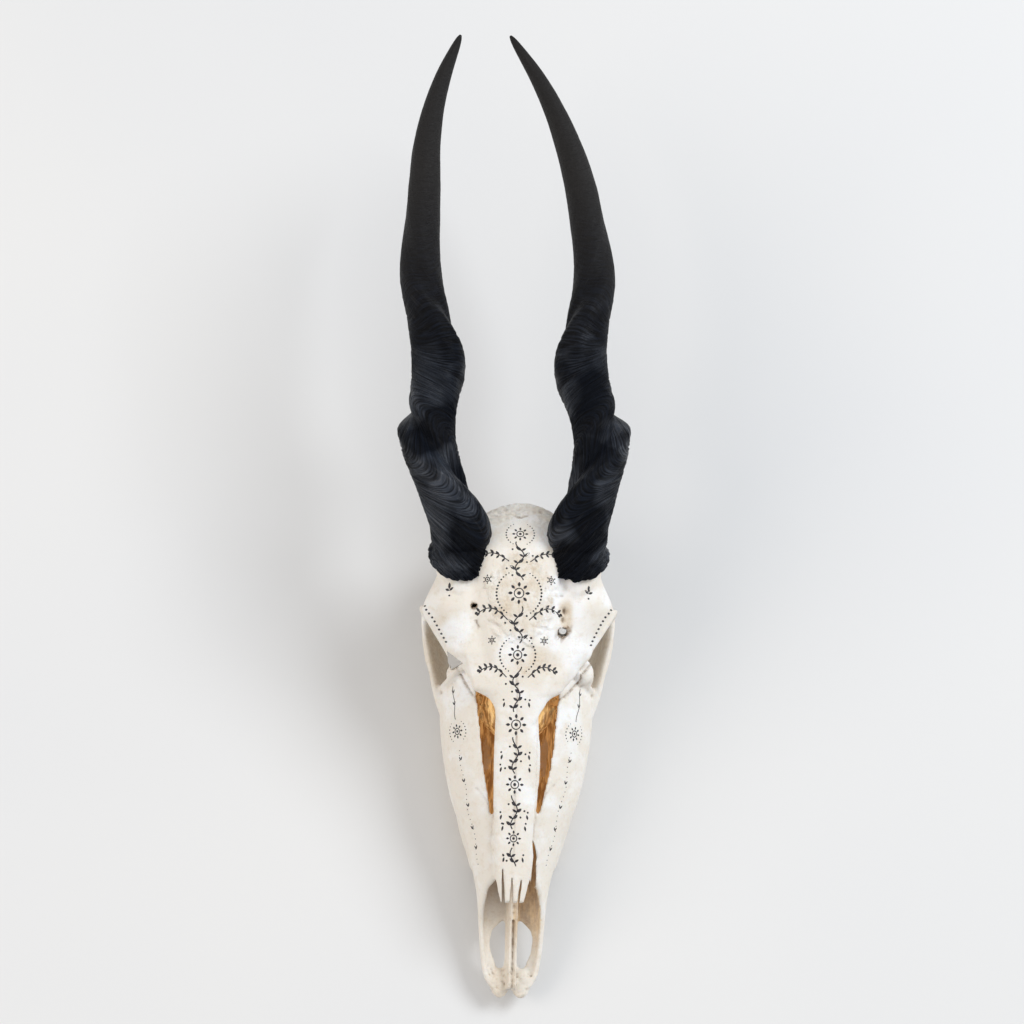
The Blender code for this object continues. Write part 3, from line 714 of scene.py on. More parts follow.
# %% [markdown]
# Fine relief is carved by moving each vertex in or out along its normal, as a sculpting brush
# does. Brushes can't be scripted well, so each mark is a formula: a seam is a groove along a
# line, a swelling is a soft bump, and porous bone is noise. All of them read the vertex's place in
# the skull's own millimetres.

# %% Carving tools
def places_and_normals(thing):
    """Vertex places in millimetres and unit normals, as arrays."""
    mesh = thing.data
    count = len(mesh.vertices)
    places = np.zeros(count * 3)
    normals = np.zeros(count * 3)
    mesh.vertices.foreach_get("co", places)
    mesh.vertex_normals.foreach_get("vector", normals)
    return places.reshape(-1, 3) / MM, normals.reshape(-1, 3)


def grain(places, size, seed=0.0):
    """Smooth noise from -1 to 1 with lumps of a size in millimetres, each way its own if given."""
    scaled = places / np.array(size)
    return np.array([noise.noise((x + seed, y, z)) for x, y, z in scaled])


def step_up(low, high, value):
    """0 below low, 1 above high, and a smooth rise between."""
    part = np.clip((value - low) / (high - low), 0, 1)
    return part * part * (3 - 2 * part)


def away_from_line(places, line):
    """Distance in plan from each place to a line of (x, y) points."""
    nearest = np.full(len(places), 1e9)
    flat = places[:, :2]
    for start, end in zip(line, line[1:]):
        start = np.array(start)
        run = np.array(end) - start
        part = np.clip(((flat - start) @ run) / (run @ run), 0, 1)
        nearest = np.minimum(nearest, np.linalg.norm(flat - start - part[:, None] * run, axis=1))
    return nearest


def line_mark(places, line, width):
    """1 on a line and near 0 past two widths from it."""
    return np.exp(-((away_from_line(places, line) / width) ** 2))


def bump(places, centre, radii):
    """A soft swelling, 1 at its centre and near 0 past its radii."""
    away = (places[:, : len(centre)] - np.array(centre)) / np.array(radii)
    return np.exp(-(away**2).sum(axis=1) * 1.5)


# %% [markdown]
# On the forehead the horn stubs and the eye-socket roofs swell like pillows. Between them lies
# a raised, flaky, porous patch, and smooth valleys run down from the horns beside it. Seams
# wander between the bones, and a few cracks run with the grain.

# %% Carving the bone
# Each seam is a line in plan, how wide it is and how deep
SEAMS = (
    (((-17, 146), (-18.4, 132), (-19, 120), (-17.6, 106), (-16.8, 92)), 1.05, 1.1),
    (((19.2, 148), (17.8, 137), (16.4, 121)), 1.05, 1.1),
    (((-32.6, 164), (-27, 158.5), (-23, 153), (-20.4, 145)), 0.85, 0.8),
    (((-30.3, 92), (-29.8, 80), (-31, 66)), 0.85, 0.6),
    (((33, 168), (27, 160), (23, 152)), 0.85, 0.5),
    (((0, 250), (0.6, 200), (0, 150), (0.4, 104)), 0.95, 0.3),
    (((-36.6, 296.5), (-33.8, 290.5)), 0.85, 1.3),
    (((-5.5, 393.5), (0, 391), (5.5, 393.5)), 1.25, 1.6),
)
# The forehead's front edge, which laps over the cheek bones; the tints paint a shadow line along it
FRONT_EDGES = (
    (((-24.5, 231), (-31, 236.5), (-38, 239.5), (-42.5, 248), (-49.5, 259.5), (-61.5, 269.5)), 1.1, 1.7),
    (((26, 226), (33, 235), (41.5, 241), (51.5, 253.5), (56.5, 261.5), (65.5, 273)), 1.1, 1.7),
)
# Pits beside the rough patch: centre, radii, depth
FOREHEAD_PITS = (
    ((39.3, 305.5), (3, 3.8), 4.2), ((38.2, 298.5), (2.2, 3), 2.8), ((36, 318), (3, 2.4), 1.2),
)
VALLEYS = {
    -1: ((-36, 350), (-38, 318), (-35, 292), (-28, 262)),
    1: ((36, 352), (40, 320), (39, 292), (31, 262)),
}
CHEEK_BEVELS = {
    -1: ((-43, 270), (-36, 243), (-30, 211), (-25, 186), (-20, 156)),
    1: ((46, 266), (38, 243), (35, 215), (31, 186), (25, 160)),
}
MIDDLE_SWELL = 1.7
BROW_SWELL = 2.4
VALLEY_DEPTH = 3.0
BEVEL_HEIGHT = 0.9
PALATE_SEAM_DEPTH = 0.8


def ridges(places, size, seed):
    """Noise with sharp crests, from -1 to 1."""
    return 1 - 4 * np.abs(grain(places, size, seed))


def patch_mask(places):
    """1 on the rough patch of the forehead and 0 off it, with a ragged rim."""
    swell = bump(places, (2, 314), (36, 44))
    ragged = 0.2 * grain(places, 6.0, 11) + 0.1 * grain(places, 2.6, 5)
    return step_up(0.34, 0.46, swell + ragged)


def seam_marks(places):
    """1 along the seams and the forehead's front edge, fading with distance, and their depth."""
    wander = places.copy()
    wander[:, 0] += 0.9 * grain(places, 7.0, 4) + 0.5 * grain(places, 2.6, 8)
    marks = np.zeros(len(places))
    depths = np.zeros(len(places))
    for line, width, depth in SEAMS + FRONT_EDGES:
        mark = line_mark(wander, line, width)
        marks = np.maximum(marks, mark)
        depths = np.maximum(depths, mark * depth)
    return marks, depths


def carve(bone):
    places, normals = places_and_normals(bone)
    x, y, z = places.T
    up = step_up(0.15, 0.6, normals[:, 2])
    roof = up * step_up(60, 95, z)
    lift = 0.14 * grain(places, 9.0, 4) + 0.06 * grain(places, 2.6, 8)

    patch = patch_mask(places) * roof
    inner = patch * bump(places, (0, 312), (26, 46))
    flakes = 0.5 * ridges(places, (3.4, 9, 5), 12) + 0.3 * ridges(places, (2.6, 4, 3), 19)
    waves = 0.9 * grain(places, (9, 13, 12), 23) + 0.25 * ridges(places, (5, 7, 5), 27)
    lift += (patch - inner) * (0.7 + flakes) + inner * (0.5 + waves)
    lift += MIDDLE_SWELL * roof * bump(places, (2, 312), (34, 42))
    for centre, radii, depth in FOREHEAD_PITS:
        lift -= depth * roof * bump(places, centre, radii)
    for side in SIDES:
        lift += BROW_SWELL * roof * bump(places, (side * 60, 312), (17, 24))
        lift -= VALLEY_DEPTH * roof * line_mark(places, VALLEYS[side], 7.5)
        lift += BEVEL_HEIGHT * roof * line_mark(places, CHEEK_BEVELS[side], 2.4)
    lift -= seam_marks(places)[1] * roof

    back = step_up(372, 394, y)
    lift += back * (0.5 * ridges(places, 5.0, 21) + 0.2 * grain(places, 2.4, 22))
    pores = np.clip(grain(places, 2.2, 31), 0.2, 1) - 0.2
    tip = step_up(34, 12, y) * up
    lift += tip * (0.4 * ridges(places, 4.0, 33) - 1.5 * pores)
    lift -= 0.9 * pores * (patch - 0.5 * inner)
    facing_down = step_up(0.2, 0.8, -normals[:, 2])
    lift += 0.35 * facing_down * grain(places, (5, 9, 5), 17)

    under = step_up(0.3, 0.7, -normals[:, 2]) * step_up(60, 40, z)
    lift -= under * PALATE_SEAM_DEPTH * np.exp(-((x / 0.9) ** 2)) * step_up(250, 240, y)
    places += normals * lift[:, None]
    # The hooks at the back end flat, on the surface that the skull lies on
    places[:, 2] = np.maximum(places[:, 2], 0.0)
    bone.data.vertices.foreach_set("co", (places * MM).ravel())
    bone.data.update()


BONE_TRIANGLES = 185000
carve(bone)
thin = bone.modifiers.new("thin", "DECIMATE")
thin.ratio = min(1.0, BONE_TRIANGLES / (2 * len(bone.data.polygons)))
settle(bone)
bone.data.shade_smooth()
print("bone:", len(bone.data.polygons), "faces")

# %% [markdown]
# The paint on the bone is white where it is thick and cream where it is thin, and the right side
# of the face is painted whiter and the left creamier, as painted light from the right. The bare
# bone in the sockets and at the nose tip is beige, with more on the left socket and a deeper tan
# on the right wall inside the nose, both painted shade. An amber glow is painted inside the nose,
# as painted light through thin bone, and creases are painted darker as shade. These tints follow
# the form, so they are stored as numbers on the vertices, which the material reads. A painted
# picture would do the same, but needs an image file.

# %% Tints that follow the bone
# Beige patches of the forehead: centre, radii, strength
BEIGE_PATCHES = (
    ((14, 262), (26, 18), 1.0), ((-12, 305), (16, 16), 0.9), ((40, 300), (8, 26), 1.1),
    ((0, 345), (24, 16), 0.6), ((-66, 300), (12, 18), 0.5), ((66, 318), (12, 14), 0.35),
    ((39.3, 305.5), (4, 5), 1.6), ((38.2, 298.5), (3.4, 5), 1.8),
)


def store(thing, name, values):
    tint = thing.data.attributes.new(name, "FLOAT", "POINT")
    tint.data.foreach_set("value", np.clip(values, 0, 1).astype(np.float32))


def hollowness(thing, normals):
    """0 on ridges and 1 in creases, from how far each vertex lies below its neighbours."""
    mesh = thing.data
    ends = np.zeros(len(mesh.edges) * 2, dtype=np.int64)
    mesh.edges.foreach_get("vertices", ends)
    ends = ends.reshape(-1, 2)
    places = np.zeros(len(mesh.vertices) * 3)
    mesh.vertices.foreach_get("co", places)
    places = places.reshape(-1, 3) / MM
    share = np.bincount(ends.ravel(), minlength=len(places))[:, None]
    total = np.zeros_like(places)
    np.add.at(total, ends[:, 0], places[ends[:, 1]])
    np.add.at(total, ends[:, 1], places[ends[:, 0]])
    depth = ((total / share - places) * normals).sum(axis=1)
    for _ in range(2):
        total = np.zeros(len(places))
        np.add.at(total, ends[:, 0], depth[ends[:, 1]])
        np.add.at(total, ends[:, 1], depth[ends[:, 0]])
        depth = (depth + total / share[:, 0]) / 2
    return depth


def tint_bone(bone):
    places, normals = places_and_normals(bone)
    x, y, z = places.T
    depths = hollowness(bone, normals)
    widths = np.interp(y, *zip(*FACE_HALF_WIDTH)) - FACE_WALL * 0.55
    tops = np.interp(y, *zip(*FACE_TOP)) - FACE_WALL * 0.55
    floors = np.interp(y, *zip(*FACE_BOTTOM)) + FACE_WALL * 0.5
    middles = np.interp(y, *zip(*FACE_WIDEST_Z))
    reach = np.where(z > middles, tops - middles, middles - floors)
    inside = (np.abs(x / widths) ** 2.1 + np.abs((z - middles) / reach) ** 2.1) < 1
    inside = inside & (y > 18) & (y < 262) & (z > floors - 2)
    inside = inside.astype(float)
    roof = step_up(0.1, 0.5, normals[:, 2]) * step_up(60, 95, z)
    mottle = grain(places, 14.0, 40)
    streaks = grain(places, (2.2, 26, 5), 44)

    # Painted glow: inside the nose an amber light through thin bone is painted in, as colour and emission
    glowing = np.maximum(step_up(104, 150, y) * step_up(262, 246, y), 0.3 * (x > 1) * step_up(30, 70, y))
    store(bone, "painted_glow", inside * glowing * (0.88 + 0.25 * streaks))
    # Bare bone inside the nose is tan, and the right wall is painted deeper as shade
    nose_tan_and_shade = inside * step_up(158, 126, y) * np.where(x > 1, 0.9, 0.5) * step_up(22, 60, y)
    socket = bump(places, (64, 284, 78), (26, 36, 28)) + bump(places, (-64, 284, 78), (26, 36, 28))
    facing_in = step_up(-0.3, 0.4, -normals[:, 0] * np.sign(x))
    bare = step_up(0.2, 0.5, socket) * step_up(107, 98, z) * (0.45 + 0.55 * facing_in)
    tip = step_up(34, 12, y) * step_up(-0.3, 0.5, normals[:, 2]) * step_up(0.5, 0.2, np.abs(x + 4) / 40)
    patches = sum(strength * bump(places, centre, radii) for centre, radii, strength in BEIGE_PATCHES)
    rough = patch_mask(places) * roof
    patches = step_up(0.2, 0.9, patches * (0.9 + 0.8 * mottle)) * roof * 0.7
    greyed = rough * step_up(-0.4, 0.5, grain(places, 8.0, 61)) * 0.5
    behind = step_up(378, 400, y) * 0.22 * (0.8 + 0.5 * mottle)
    below = step_up(0.0, 0.7, -normals[:, 2]) * 0.3 * step_up(24, 60, y)
    # The bare bone in the sockets is beige, more on walls that face inwards, and the left socket is painted
    # darker as shade, the light being on the right
    dull = bare * np.where(x > 0, 0.45, 0.8)
    store(bone, "stain_and_painted_shade", np.maximum.reduce([nose_tan_and_shade, dull, tip * 0.5, patches, greyed, behind, below]))
    # Painted light: the right side of the face is painted whiter and the left creamier, as light from the
    # right falls; the crown is made creamier in its own tone
    painted_light_and_cream_crown = 0.35 * np.sign(x) * step_up(14, 30, np.abs(x)) * step_up(285, 240, y)
    painted_light_and_cream_crown -= 0.4 * step_up(374, 388, y)
    store(bone, "whiteness_and_painted_light", roof * (step_up(-0.2, 0.5, grain(places, 30.0, 50)) + painted_light_and_cream_crown) * (1 - patches))
    store(bone, "rough", np.maximum.reduce([rough, 0.6 * step_up(372, 394, y), 0.7 * tip]))
    broken = step_up(-0.35, 0.25, grain(places, 4.0, 71))
    # Seams are dark joints; along the forehead's front edge the same mark is a painted shadow line
    seams = seam_marks(places)[0] ** 2 * roof * (0.35 + 0.65 * broken)
    # Painted shade: creases are darker, where shade falls
    painted_crease_shade = step_up(0.05, 0.28, depths) * (1 - 0.5 * step_up(372, 394, y))
    store(bone, "dark_seams_and_painted_shade", np.maximum(painted_crease_shade, seams))


tint_bone(bone)
print("tints:", [item.name for item in bone.data.attributes if item.data_type == "FLOAT"])


# %% [markdown]
# Materials are node trees. A small helper makes a node, sets its plain sockets and joins the
# others, so that each recipe below reads from top to bottom.

# %% A helper for node trees
class Recipe:
    """A material under construction."""

    def __init__(self, name):
        self.material = bpy.data.materials.new(name)
        self.material.use_nodes = True
        self.nodes = self.material.node_tree.nodes
        self.links = self.material.node_tree.links
        self.shader = self.nodes["Principled BSDF"]

    def node(self, kind, settings=None, **inputs):
        made = self.nodes.new(kind)
        for key, value in (settings or {}).items():
            setattr(made, key, value)
        self.fill(made, inputs)
        return made

    def surface(self, **inputs):
        """Sets sockets of the material's own shader."""
        self.fill(self.shader, inputs)
        return self.material

    def fill(self, made, inputs):
        for key, value in inputs.items():
            self.feed(made.inputs[key.replace("_", " ")], value)

    def feed(self, socket, value):
        if isinstance(value, bpy.types.NodeSocket):
            self.links.new(value, socket)
        else:
            socket.default_value = value

    def places(self):
        return self.node("ShaderNodeTexCoord").outputs["Object"]

    def stored(self, name, output="Fac"):
        return self.node("ShaderNodeAttribute", {"attribute_name": name}).outputs[output]

    def noise(self, place, scale, detail=4.0, roughness=0.55):
        settings = {"Vector": place, "Scale": scale, "Detail": detail, "Roughness": roughness}
        return self.node("ShaderNodeTexNoise", **settings).outputs["Fac"]

    def stretched(self, place, scale):
        return self.node("ShaderNodeMapping", Vector=place, Scale=scale).outputs["Vector"]

    def span(self, value, low, high, start=0.0, end=1.0):
        made = self.node("ShaderNodeMapRange", Value=value)
        made.inputs["From Min"].default_value = low
        made.inputs["From Max"].default_value = high
        made.inputs["To Min"].default_value = start
        made.inputs["To Max"].default_value = end
        return made.outputs["Result"]

    def sums(self, operation, first, second):
        made = self.node("ShaderNodeMath", {"operation": operation})
        self.feed(made.inputs[0], first)
        self.feed(made.inputs[1], second)
        return made.outputs["Value"]

    def mix(self, share, first, second):
        made = self.node("ShaderNodeMix", {"data_type": "RGBA"})
        self.feed(made.inputs["Factor"], share)
        self.feed(made.inputs["A"], first)
        self.feed(made.inputs["B"], second)
        return made.outputs["Result"]

    def relief(self, height, distance, strength, under=None):
        made = self.node("ShaderNodeBump", Height=height, Distance=distance, Strength=strength)
        if under is not None:
            self.feed(made.inputs["Normal"], under)
        return made.outputs["Normal"]


# %% [markdown]
# Painted bone is matte, slightly mottled, and full of fine pores that run with the grain of the
# bone. The paint is thin in blotches, where the bone shows through. Seams are dark, and creases
# are painted darker as shade.

# %% Bone
CREAM = (0.80, 0.75, 0.675, 1)
WHITE = (0.88, 0.88, 0.875, 1)
BEIGE = (0.60, 0.49, 0.36, 1)
TAN = (0.74, 0.64, 0.51, 1)
# Painted glow: the ambers of light through thin bone inside the nose
PAINTED_GLOW_AMBER = (0.88, 0.58, 0.24, 1)
PAINTED_GLOW_DARK_AMBER = (0.33, 0.165, 0.05, 1)
# Brown of dark seams and of painted shade in creases
SEAM_AND_SHADE_BROWN = (0.26, 0.18, 0.12, 1)
BLACK = (0, 0, 0, 1)
GLOW = 0.24
BONE_BLEED = (0.004, 0.0025, 0.0015)


def bone_material():
    mixture = Recipe("bleached_bone")
    place = mixture.places()
    cloud = mixture.noise(place, 55.0, 5.0)
    speck = mixture.noise(place, 420.0, 3.0, 0.7)
    strand = mixture.noise(mixture.stretched(place, (1.0, 0.16, 0.6)), 380.0, 3.0, 0.6)
    flake = mixture.noise(mixture.stretched(place, (1.0, 0.7, 0.8)), 230.0, 4.0, 0.65)
    blotch = mixture.noise(place, 190.0, 4.0, 0.6)
    pores = mixture.node("ShaderNodeTexVoronoi", Vector=place, Scale=620.0).outputs["Distance"]
    rough_place = mixture.stored("rough")
    # Whiter where the paint is thick, and on the right side of the face as painted light
    whiteness_and_painted_light = mixture.sums("ADD", mixture.stored("whiteness_and_painted_light"), mixture.span(cloud, 0.42, 0.62, -0.3, 0.4))
    colour = mixture.mix(mixture.span(whiteness_and_painted_light, 0.0, 1.0), CREAM, WHITE)
    # This share holds bare and stained bone, and also the painted shade of the left socket and inside the
    # nose
    worn = mixture.sums("MULTIPLY", mixture.stored("stain_and_painted_shade"), mixture.span(cloud, 0.3, 0.7, 0.75, 1.25))
    worn = mixture.sums("ADD", worn, mixture.span(blotch, 0.52, 0.68, 0.0, 0.3))
    bare = mixture.mix(mixture.span(speck, 0.35, 0.65), BEIGE, TAN)
    colour = mixture.mix(mixture.span(worn, 0.0, 1.0), colour, bare)
    cracks = mixture.sums("MULTIPLY", rough_place, mixture.span(flake, 0.45, 0.34))
    colour = mixture.mix(mixture.sums("MULTIPLY", cracks, 0.5), colour, BEIGE)
    # Painted glow: amber colour and emission inside the nose stand in for light through thin bone
    painted_glow = mixture.span(mixture.stored("painted_glow"), 0.05, 0.9)
    through = mixture.mix(mixture.span(strand, 0.42, 0.6), PAINTED_GLOW_DARK_AMBER, PAINTED_GLOW_AMBER)
    colour = mixture.mix(painted_glow, colour, through)
    # Dark seams, and painted shade in creases and along the forehead's front edge
    dark_seams_and_shade = mixture.sums("MULTIPLY", mixture.stored("dark_seams_and_painted_shade"), mixture.span(speck, 0.3, 0.6, 0.45, 0.95))
    colour = mixture.mix(mixture.span(dark_seams_and_shade, 0.0, 1.0), colour, SEAM_AND_SHADE_BROWN)
    flaked = mixture.sums("MULTIPLY", flake, mixture.span(rough_place, 0.0, 1.0, 0.12, 1.0))
    relief = mixture.relief(flaked, 0.0022, 0.7)
    relief = mixture.relief(strand, 0.0005, 0.4, relief)
    relief = mixture.relief(speck, 0.0004, 0.35, relief)
    relief = mixture.relief(mixture.span(pores, 0.0, 0.35), 0.0003, 0.3, relief)
    return mixture.surface(
        Base_Color=colour,
        Emission_Color=mixture.mix(painted_glow, BLACK, through),
        Emission_Strength=GLOW,
        Roughness=mixture.span(cloud, 0.3, 0.7, 0.5, 0.68),
        Subsurface_Weight=0.1,
        Subsurface_Radius=BONE_BLEED,
        Specular_IOR_Level=0.35,
        Normal=relief,
    )


def put_in_place(thing, material):
    """Moves a piece from the skull's own millimetres to its place in the frame."""
    thing.data.transform(Matrix.Translation(ORIGIN))
    thing.data.materials.clear()
    thing.data.materials.append(material)


bone_finish = bone_material()
print("material:", bone_finish.name)

# %% [markdown]
# The horn sheath grows in layers from the bone outwards. Where the keel runs, the edge of each
# layer is drawn up into a long tongue, so on the lower half the surface shows nested arcs like the
# grain of wood, and higher up fine lines that wind with the twist. A flat grid is rolled into a
# tube, so that every vertex knows how far round and how far up it is.

# %% Horns
HORN_AROUND = 180
HORN_ALONG = 440
HORN_CROWDING = 1.25
TONGUE = 34.0


def layer_place(turned, up):
    """How far out in growth a point is: lines of equal value are the edges of the layers."""
    reach = TONGUE * (1 - 0.75 * min(1.0, max(0.0, (up - 90) / 160)))
    return up + reach * math.cos(turned - 0.7) + 6 * math.sin(2 * turned + up * 0.02)


def surface_relief(turned, up):
    """Height in millimetres added to a horn's surface."""
    layer = layer_place(turned, up)
    side_a = math.cos(turned)
    side_b = math.sin(turned)
    lower = 1 - min(1.0, max(0.0, (up - 130) / 130))
    folds = 1 - 3 * abs(noise.noise((side_a * 1.1, side_b * 1.1, layer * 0.24)))
    lines = 1 - 3 * abs(noise.noise((side_a * 1.8, side_b * 1.8, layer * 0.5 + 20)))
    strands = noise.noise((side_a * 9, side_b * 9, up * 0.035))
    height = (0.12 + 0.88 * lower) * (0.5 * folds + 0.34 * lines) + (0.14 + 0.1 * lower) * strands
    height += 0.6 * noise.noise((side_a * 1.6, side_b * 1.6, up * 0.06)) * (1 - up / 520)
    lip = 1 - min(1.0, max(0.0, (up - 9) / 4))
    rough = noise.noise((side_a * 7, side_b * 7, up * 0.5))
    rough += 0.6 * noise.noise((side_a * 15, side_b * 15, up))
    height += lip * (0.8 + 1.2 * rough)
    height -= 1.7 * math.exp(-(((up - 13.5 - 2.5 * side_b) / 2.2) ** 2))
    return height


def make_horn(side):
    form = bmesh.new()
    form.loops.layers.uv.new("UVMap")
    bmesh.ops.create_grid(form, x_segments=HORN_AROUND, y_segments=HORN_ALONG, size=0.5, calc_uvs=True)
    start = HORN_AXIS[side][0][0]
    length = HORN_AXIS[side][-1][0] - start
    stations_along = {}
    turned_layer = form.verts.layers.float_vector.new("layers")
    height_layer = form.verts.layers.float.new("height")
    for vert in form.verts:
        around = vert.co.x + 0.5
        row = round((vert.co.y + 0.5) * HORN_ALONG)
        if row not in stations_along:
            part = (row / HORN_ALONG) ** HORN_CROWDING
            stations_along[row] = horn_place(side, start + length * part)
        station = stations_along[row]
        angle = 2 * math.pi * (around % 1.0)
        turned = angle - station[4]
        up = station[8]
        ragged = 1.6 * noise.noise((math.cos(angle) * 4, math.sin(angle) * 4, side)) * max(0.0, 1 - up / 8)
        height = surface_relief(turned, up) * min(1.0, station[5] / 12)
        vert.co = (horn_point(station, angle, -height) + station[1] * ragged) * MM
        vert[turned_layer] = (math.cos(turned), math.sin(turned), layer_place(turned, up))
        vert[height_layer] = up
    bmesh.ops.remove_doubles(form, verts=form.verts, dist=1e-6)
    ends = [edge for edge in form.edges if edge.is_boundary]
    caps = bmesh.ops.holes_fill(form, edges=ends, sides=0)["faces"]
    bmesh.ops.poke(form, faces=caps)
    horn = to_object(form, "horn_sheath_" + SIDE_NAMES[side])
    horn.data.shade_smooth()
    return horn


horns = {side: make_horn(side) for side in SIDES}
print("horns:", [(horn.name, len(horn.data.polygons)) for horn in horns.values()])

# %% [markdown]
# Horn is keratin, like a hoof: black and shinier low down where it was polished, with a blue
# sheen painted into its colour there as a painted reflection, and browner and duller towards the
# tips. The layer number stored on the vertices draws its fine lines, and they follow the twist by
# themselves.

# %% Horn
CHARCOAL = (0.0015, 0.0017, 0.0026, 1)
SLATE = (0.006, 0.0085, 0.015, 1)
# Painted sheen: a blue reflection painted into the colour of the polished patches
PAINTED_BLUE_SHEEN = (0.021, 0.029, 0.046, 1)
BROWN_BLACK = (0.0105, 0.0092, 0.0088, 1)
DRY = (0.055, 0.053, 0.052, 1)
HORN_TOP = 474.0


def horn_material():
    mixture = Recipe("black_horn")
    place = mixture.places()
    layers = mixture.stored("layers", "Vector")
    up = mixture.span(mixture.stored("height"), 0.0, HORN_TOP)
    lines = mixture.noise(mixture.stretched(layers, (1.2, 1.2, 0.8)), 1.0, 3.0, 0.6)
    strands = mixture.noise(mixture.stretched(layers, (16.0, 16.0, 0.05)), 1.0, 3.0, 0.6)
    cloud = mixture.noise(place, 45.0, 4.0)
    speck = mixture.noise(place, 900.0, 3.0, 0.7)
    high = mixture.span(up, 0.35, 0.7)
    polish_and_painted_sheen = mixture.span(mixture.noise(place, 24.0, 2.0), 0.46, 0.64)
    polish_and_painted_sheen = mixture.sums("MULTIPLY", polish_and_painted_sheen, mixture.span(lines, 0.4, 0.62, 0.2, 1.0))
    polish_and_painted_sheen = mixture.sums("MULTIPLY", polish_and_painted_sheen, mixture.span(up, 0.2, 0.5, 1.0, 0.0))
    colour = mixture.mix(mixture.span(lines, 0.42, 0.64), CHARCOAL, SLATE)
    # Painted sheen: the polished patches are coloured bluer, as a painted reflection
    colour = mixture.mix(polish_and_painted_sheen, colour, PAINTED_BLUE_SHEEN)
    colour = mixture.mix(high, colour, BROWN_BLACK)
    dry = mixture.sums("MULTIPLY", mixture.span(strands, 0.58, 0.75), mixture.span(cloud, 0.48, 0.68))
    colour = mixture.mix(mixture.sums("MULTIPLY", dry, 0.6), colour, DRY)
    dull = mixture.span(high, 0.0, 1.0, 0.0, 0.16)
    rough = mixture.sums("ADD", mixture.span(polish_and_painted_sheen, 0.0, 1.0, 0.46, 0.28), dull)
    faint = mixture.span(high, 0.0, 1.0, 0.0, 0.26)
    shine = mixture.sums("MAXIMUM", mixture.span(polish_and_painted_sheen, 0.0, 1.0, 0.07, 0.6), faint)
    relief = mixture.relief(lines, 0.0018, 0.9)
    relief = mixture.relief(strands, 0.0006, 0.5, relief)
    relief = mixture.relief(speck, 0.0003, 0.2, relief)
    return mixture.surface(Base_Color=colour, Roughness=rough, Specular_IOR_Level=shine, Normal=relief)


horn_finish = horn_material()
for side, horn in horns.items():
    put_in_place(horn, horn_finish)
    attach(horn, "root")
    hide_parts("horn_" + SIDE_NAMES[side])
low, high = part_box("horn_left")
print("left horn's box, mm:", [round(value / MM) for value in high - low])

# %% [markdown]
# An antelope's cheek teeth are tall blocks that wear flat. Enamel is hard and dentine is soft, so
# the worn face shows low crescents of enamel round shallow dishes, and deep slits between them. A
# sculpted tooth could be copied twelve times, but each one differs in size, so a function builds
# each from its length and width. Rings of points run down the sides and then in over the face.

# %% Cheek teeth
TEETH = (
    ("premolar_2", 14, 12), ("premolar_3", 16, 14.5), ("premolar_4", 16, 17),
    ("molar_1", 20, 19), ("molar_2", 24, 20.5), ("molar_3", 25, 20),
)
TOOTH_GAP = 0.5
TOOTH_TOP = 22
TOOTH_SIDES = 56
TOOTH_SQUARENESS = 0.62


def face_height(along, across, lobes):
    """How far a worn face is sunk: enamel stands at 0, dentine is dished and slits are deep."""
    lobe = (along * lobes + (lobes - 1)) % 2 - 1 if lobes > 1 else along
    bow = across - 0.12 - 0.42 * (1 - lobe * lobe)
    slit = math.exp(-((bow / 0.13) ** 2)) * max(0.0, 1 - abs(lobe) ** 4)
    enamel = math.exp(-(((abs(bow) - 0.3) / 0.1) ** 2))
    rim = step_up(0.86, 0.96, max(abs(along), abs(across)))
    return 3.2 * slit + 0.9 * (1 - enamel) * (1 - rim)


def make_tooth(name, length, width, y, side):
    lobes = 2 if name.startswith("molar") else 1
    x = side * curve_at(ROW_MIDDLE_X, y)
    levels = [(TOOTH_TOP, 0.92, 1), (16, 0.97, 1), (13, 1, 1), (6, 1, 1), (1.2, 1, 1), (0.3, 0.985, 1)]
    levels += [(0, size, size) for size in (0.95, 0.88, 0.8, 0.7, 0.6, 0.5, 0.4, 0.3, 0.2, 0.1, 0.04)]
    rings = []
    for z, size, inner in levels:
        ring = []
        for step in range(TOOTH_SIDES):
            angle = 2 * math.pi * (step + 0.5) / TOOTH_SIDES
            along = math.copysign(abs(math.sin(angle)) ** TOOTH_SQUARENESS, math.sin(angle))
            across = math.copysign(abs(math.cos(angle)) ** TOOTH_SQUARENESS, math.cos(angle))
            pinch = 1 - 0.09 * (lobes - 1) * (1 + math.cos(2 * math.pi * along))
            cheek_side = max(0.0, across * side)
            rib = 0.5 * cheek_side * math.cos(math.pi * (lobes + 1) * along) ** 2
            rib += 0.12 * noise.noise((along * 6 + y, across * 6, z * 0.35))
            out_x = (width / 2 * pinch + rib * inner - 0.5) * size
            out_y = (length / 2) * size
            sunk = face_height(along * size, across * size * side, lobes) if z == 0 else 0
            ring.append(Vector((x + across * out_x, y + along * out_y, z + sunk)))
        rings.append(ring)
    form = bmesh.new()
    add_loft(form, rings)
    tooth = to_object(form, f"{name}_tooth_{SIDE_NAMES[side]}")
    tooth.data.shade_smooth()
    tooth.data.set_sharp_from_angle(angle=math.radians(50))
    return tooth


ENAMEL = (0.80, 0.74, 0.62, 1)
DENTINE = (0.50, 0.35, 0.19, 1)
TARTAR = (0.12, 0.075, 0.035, 1)


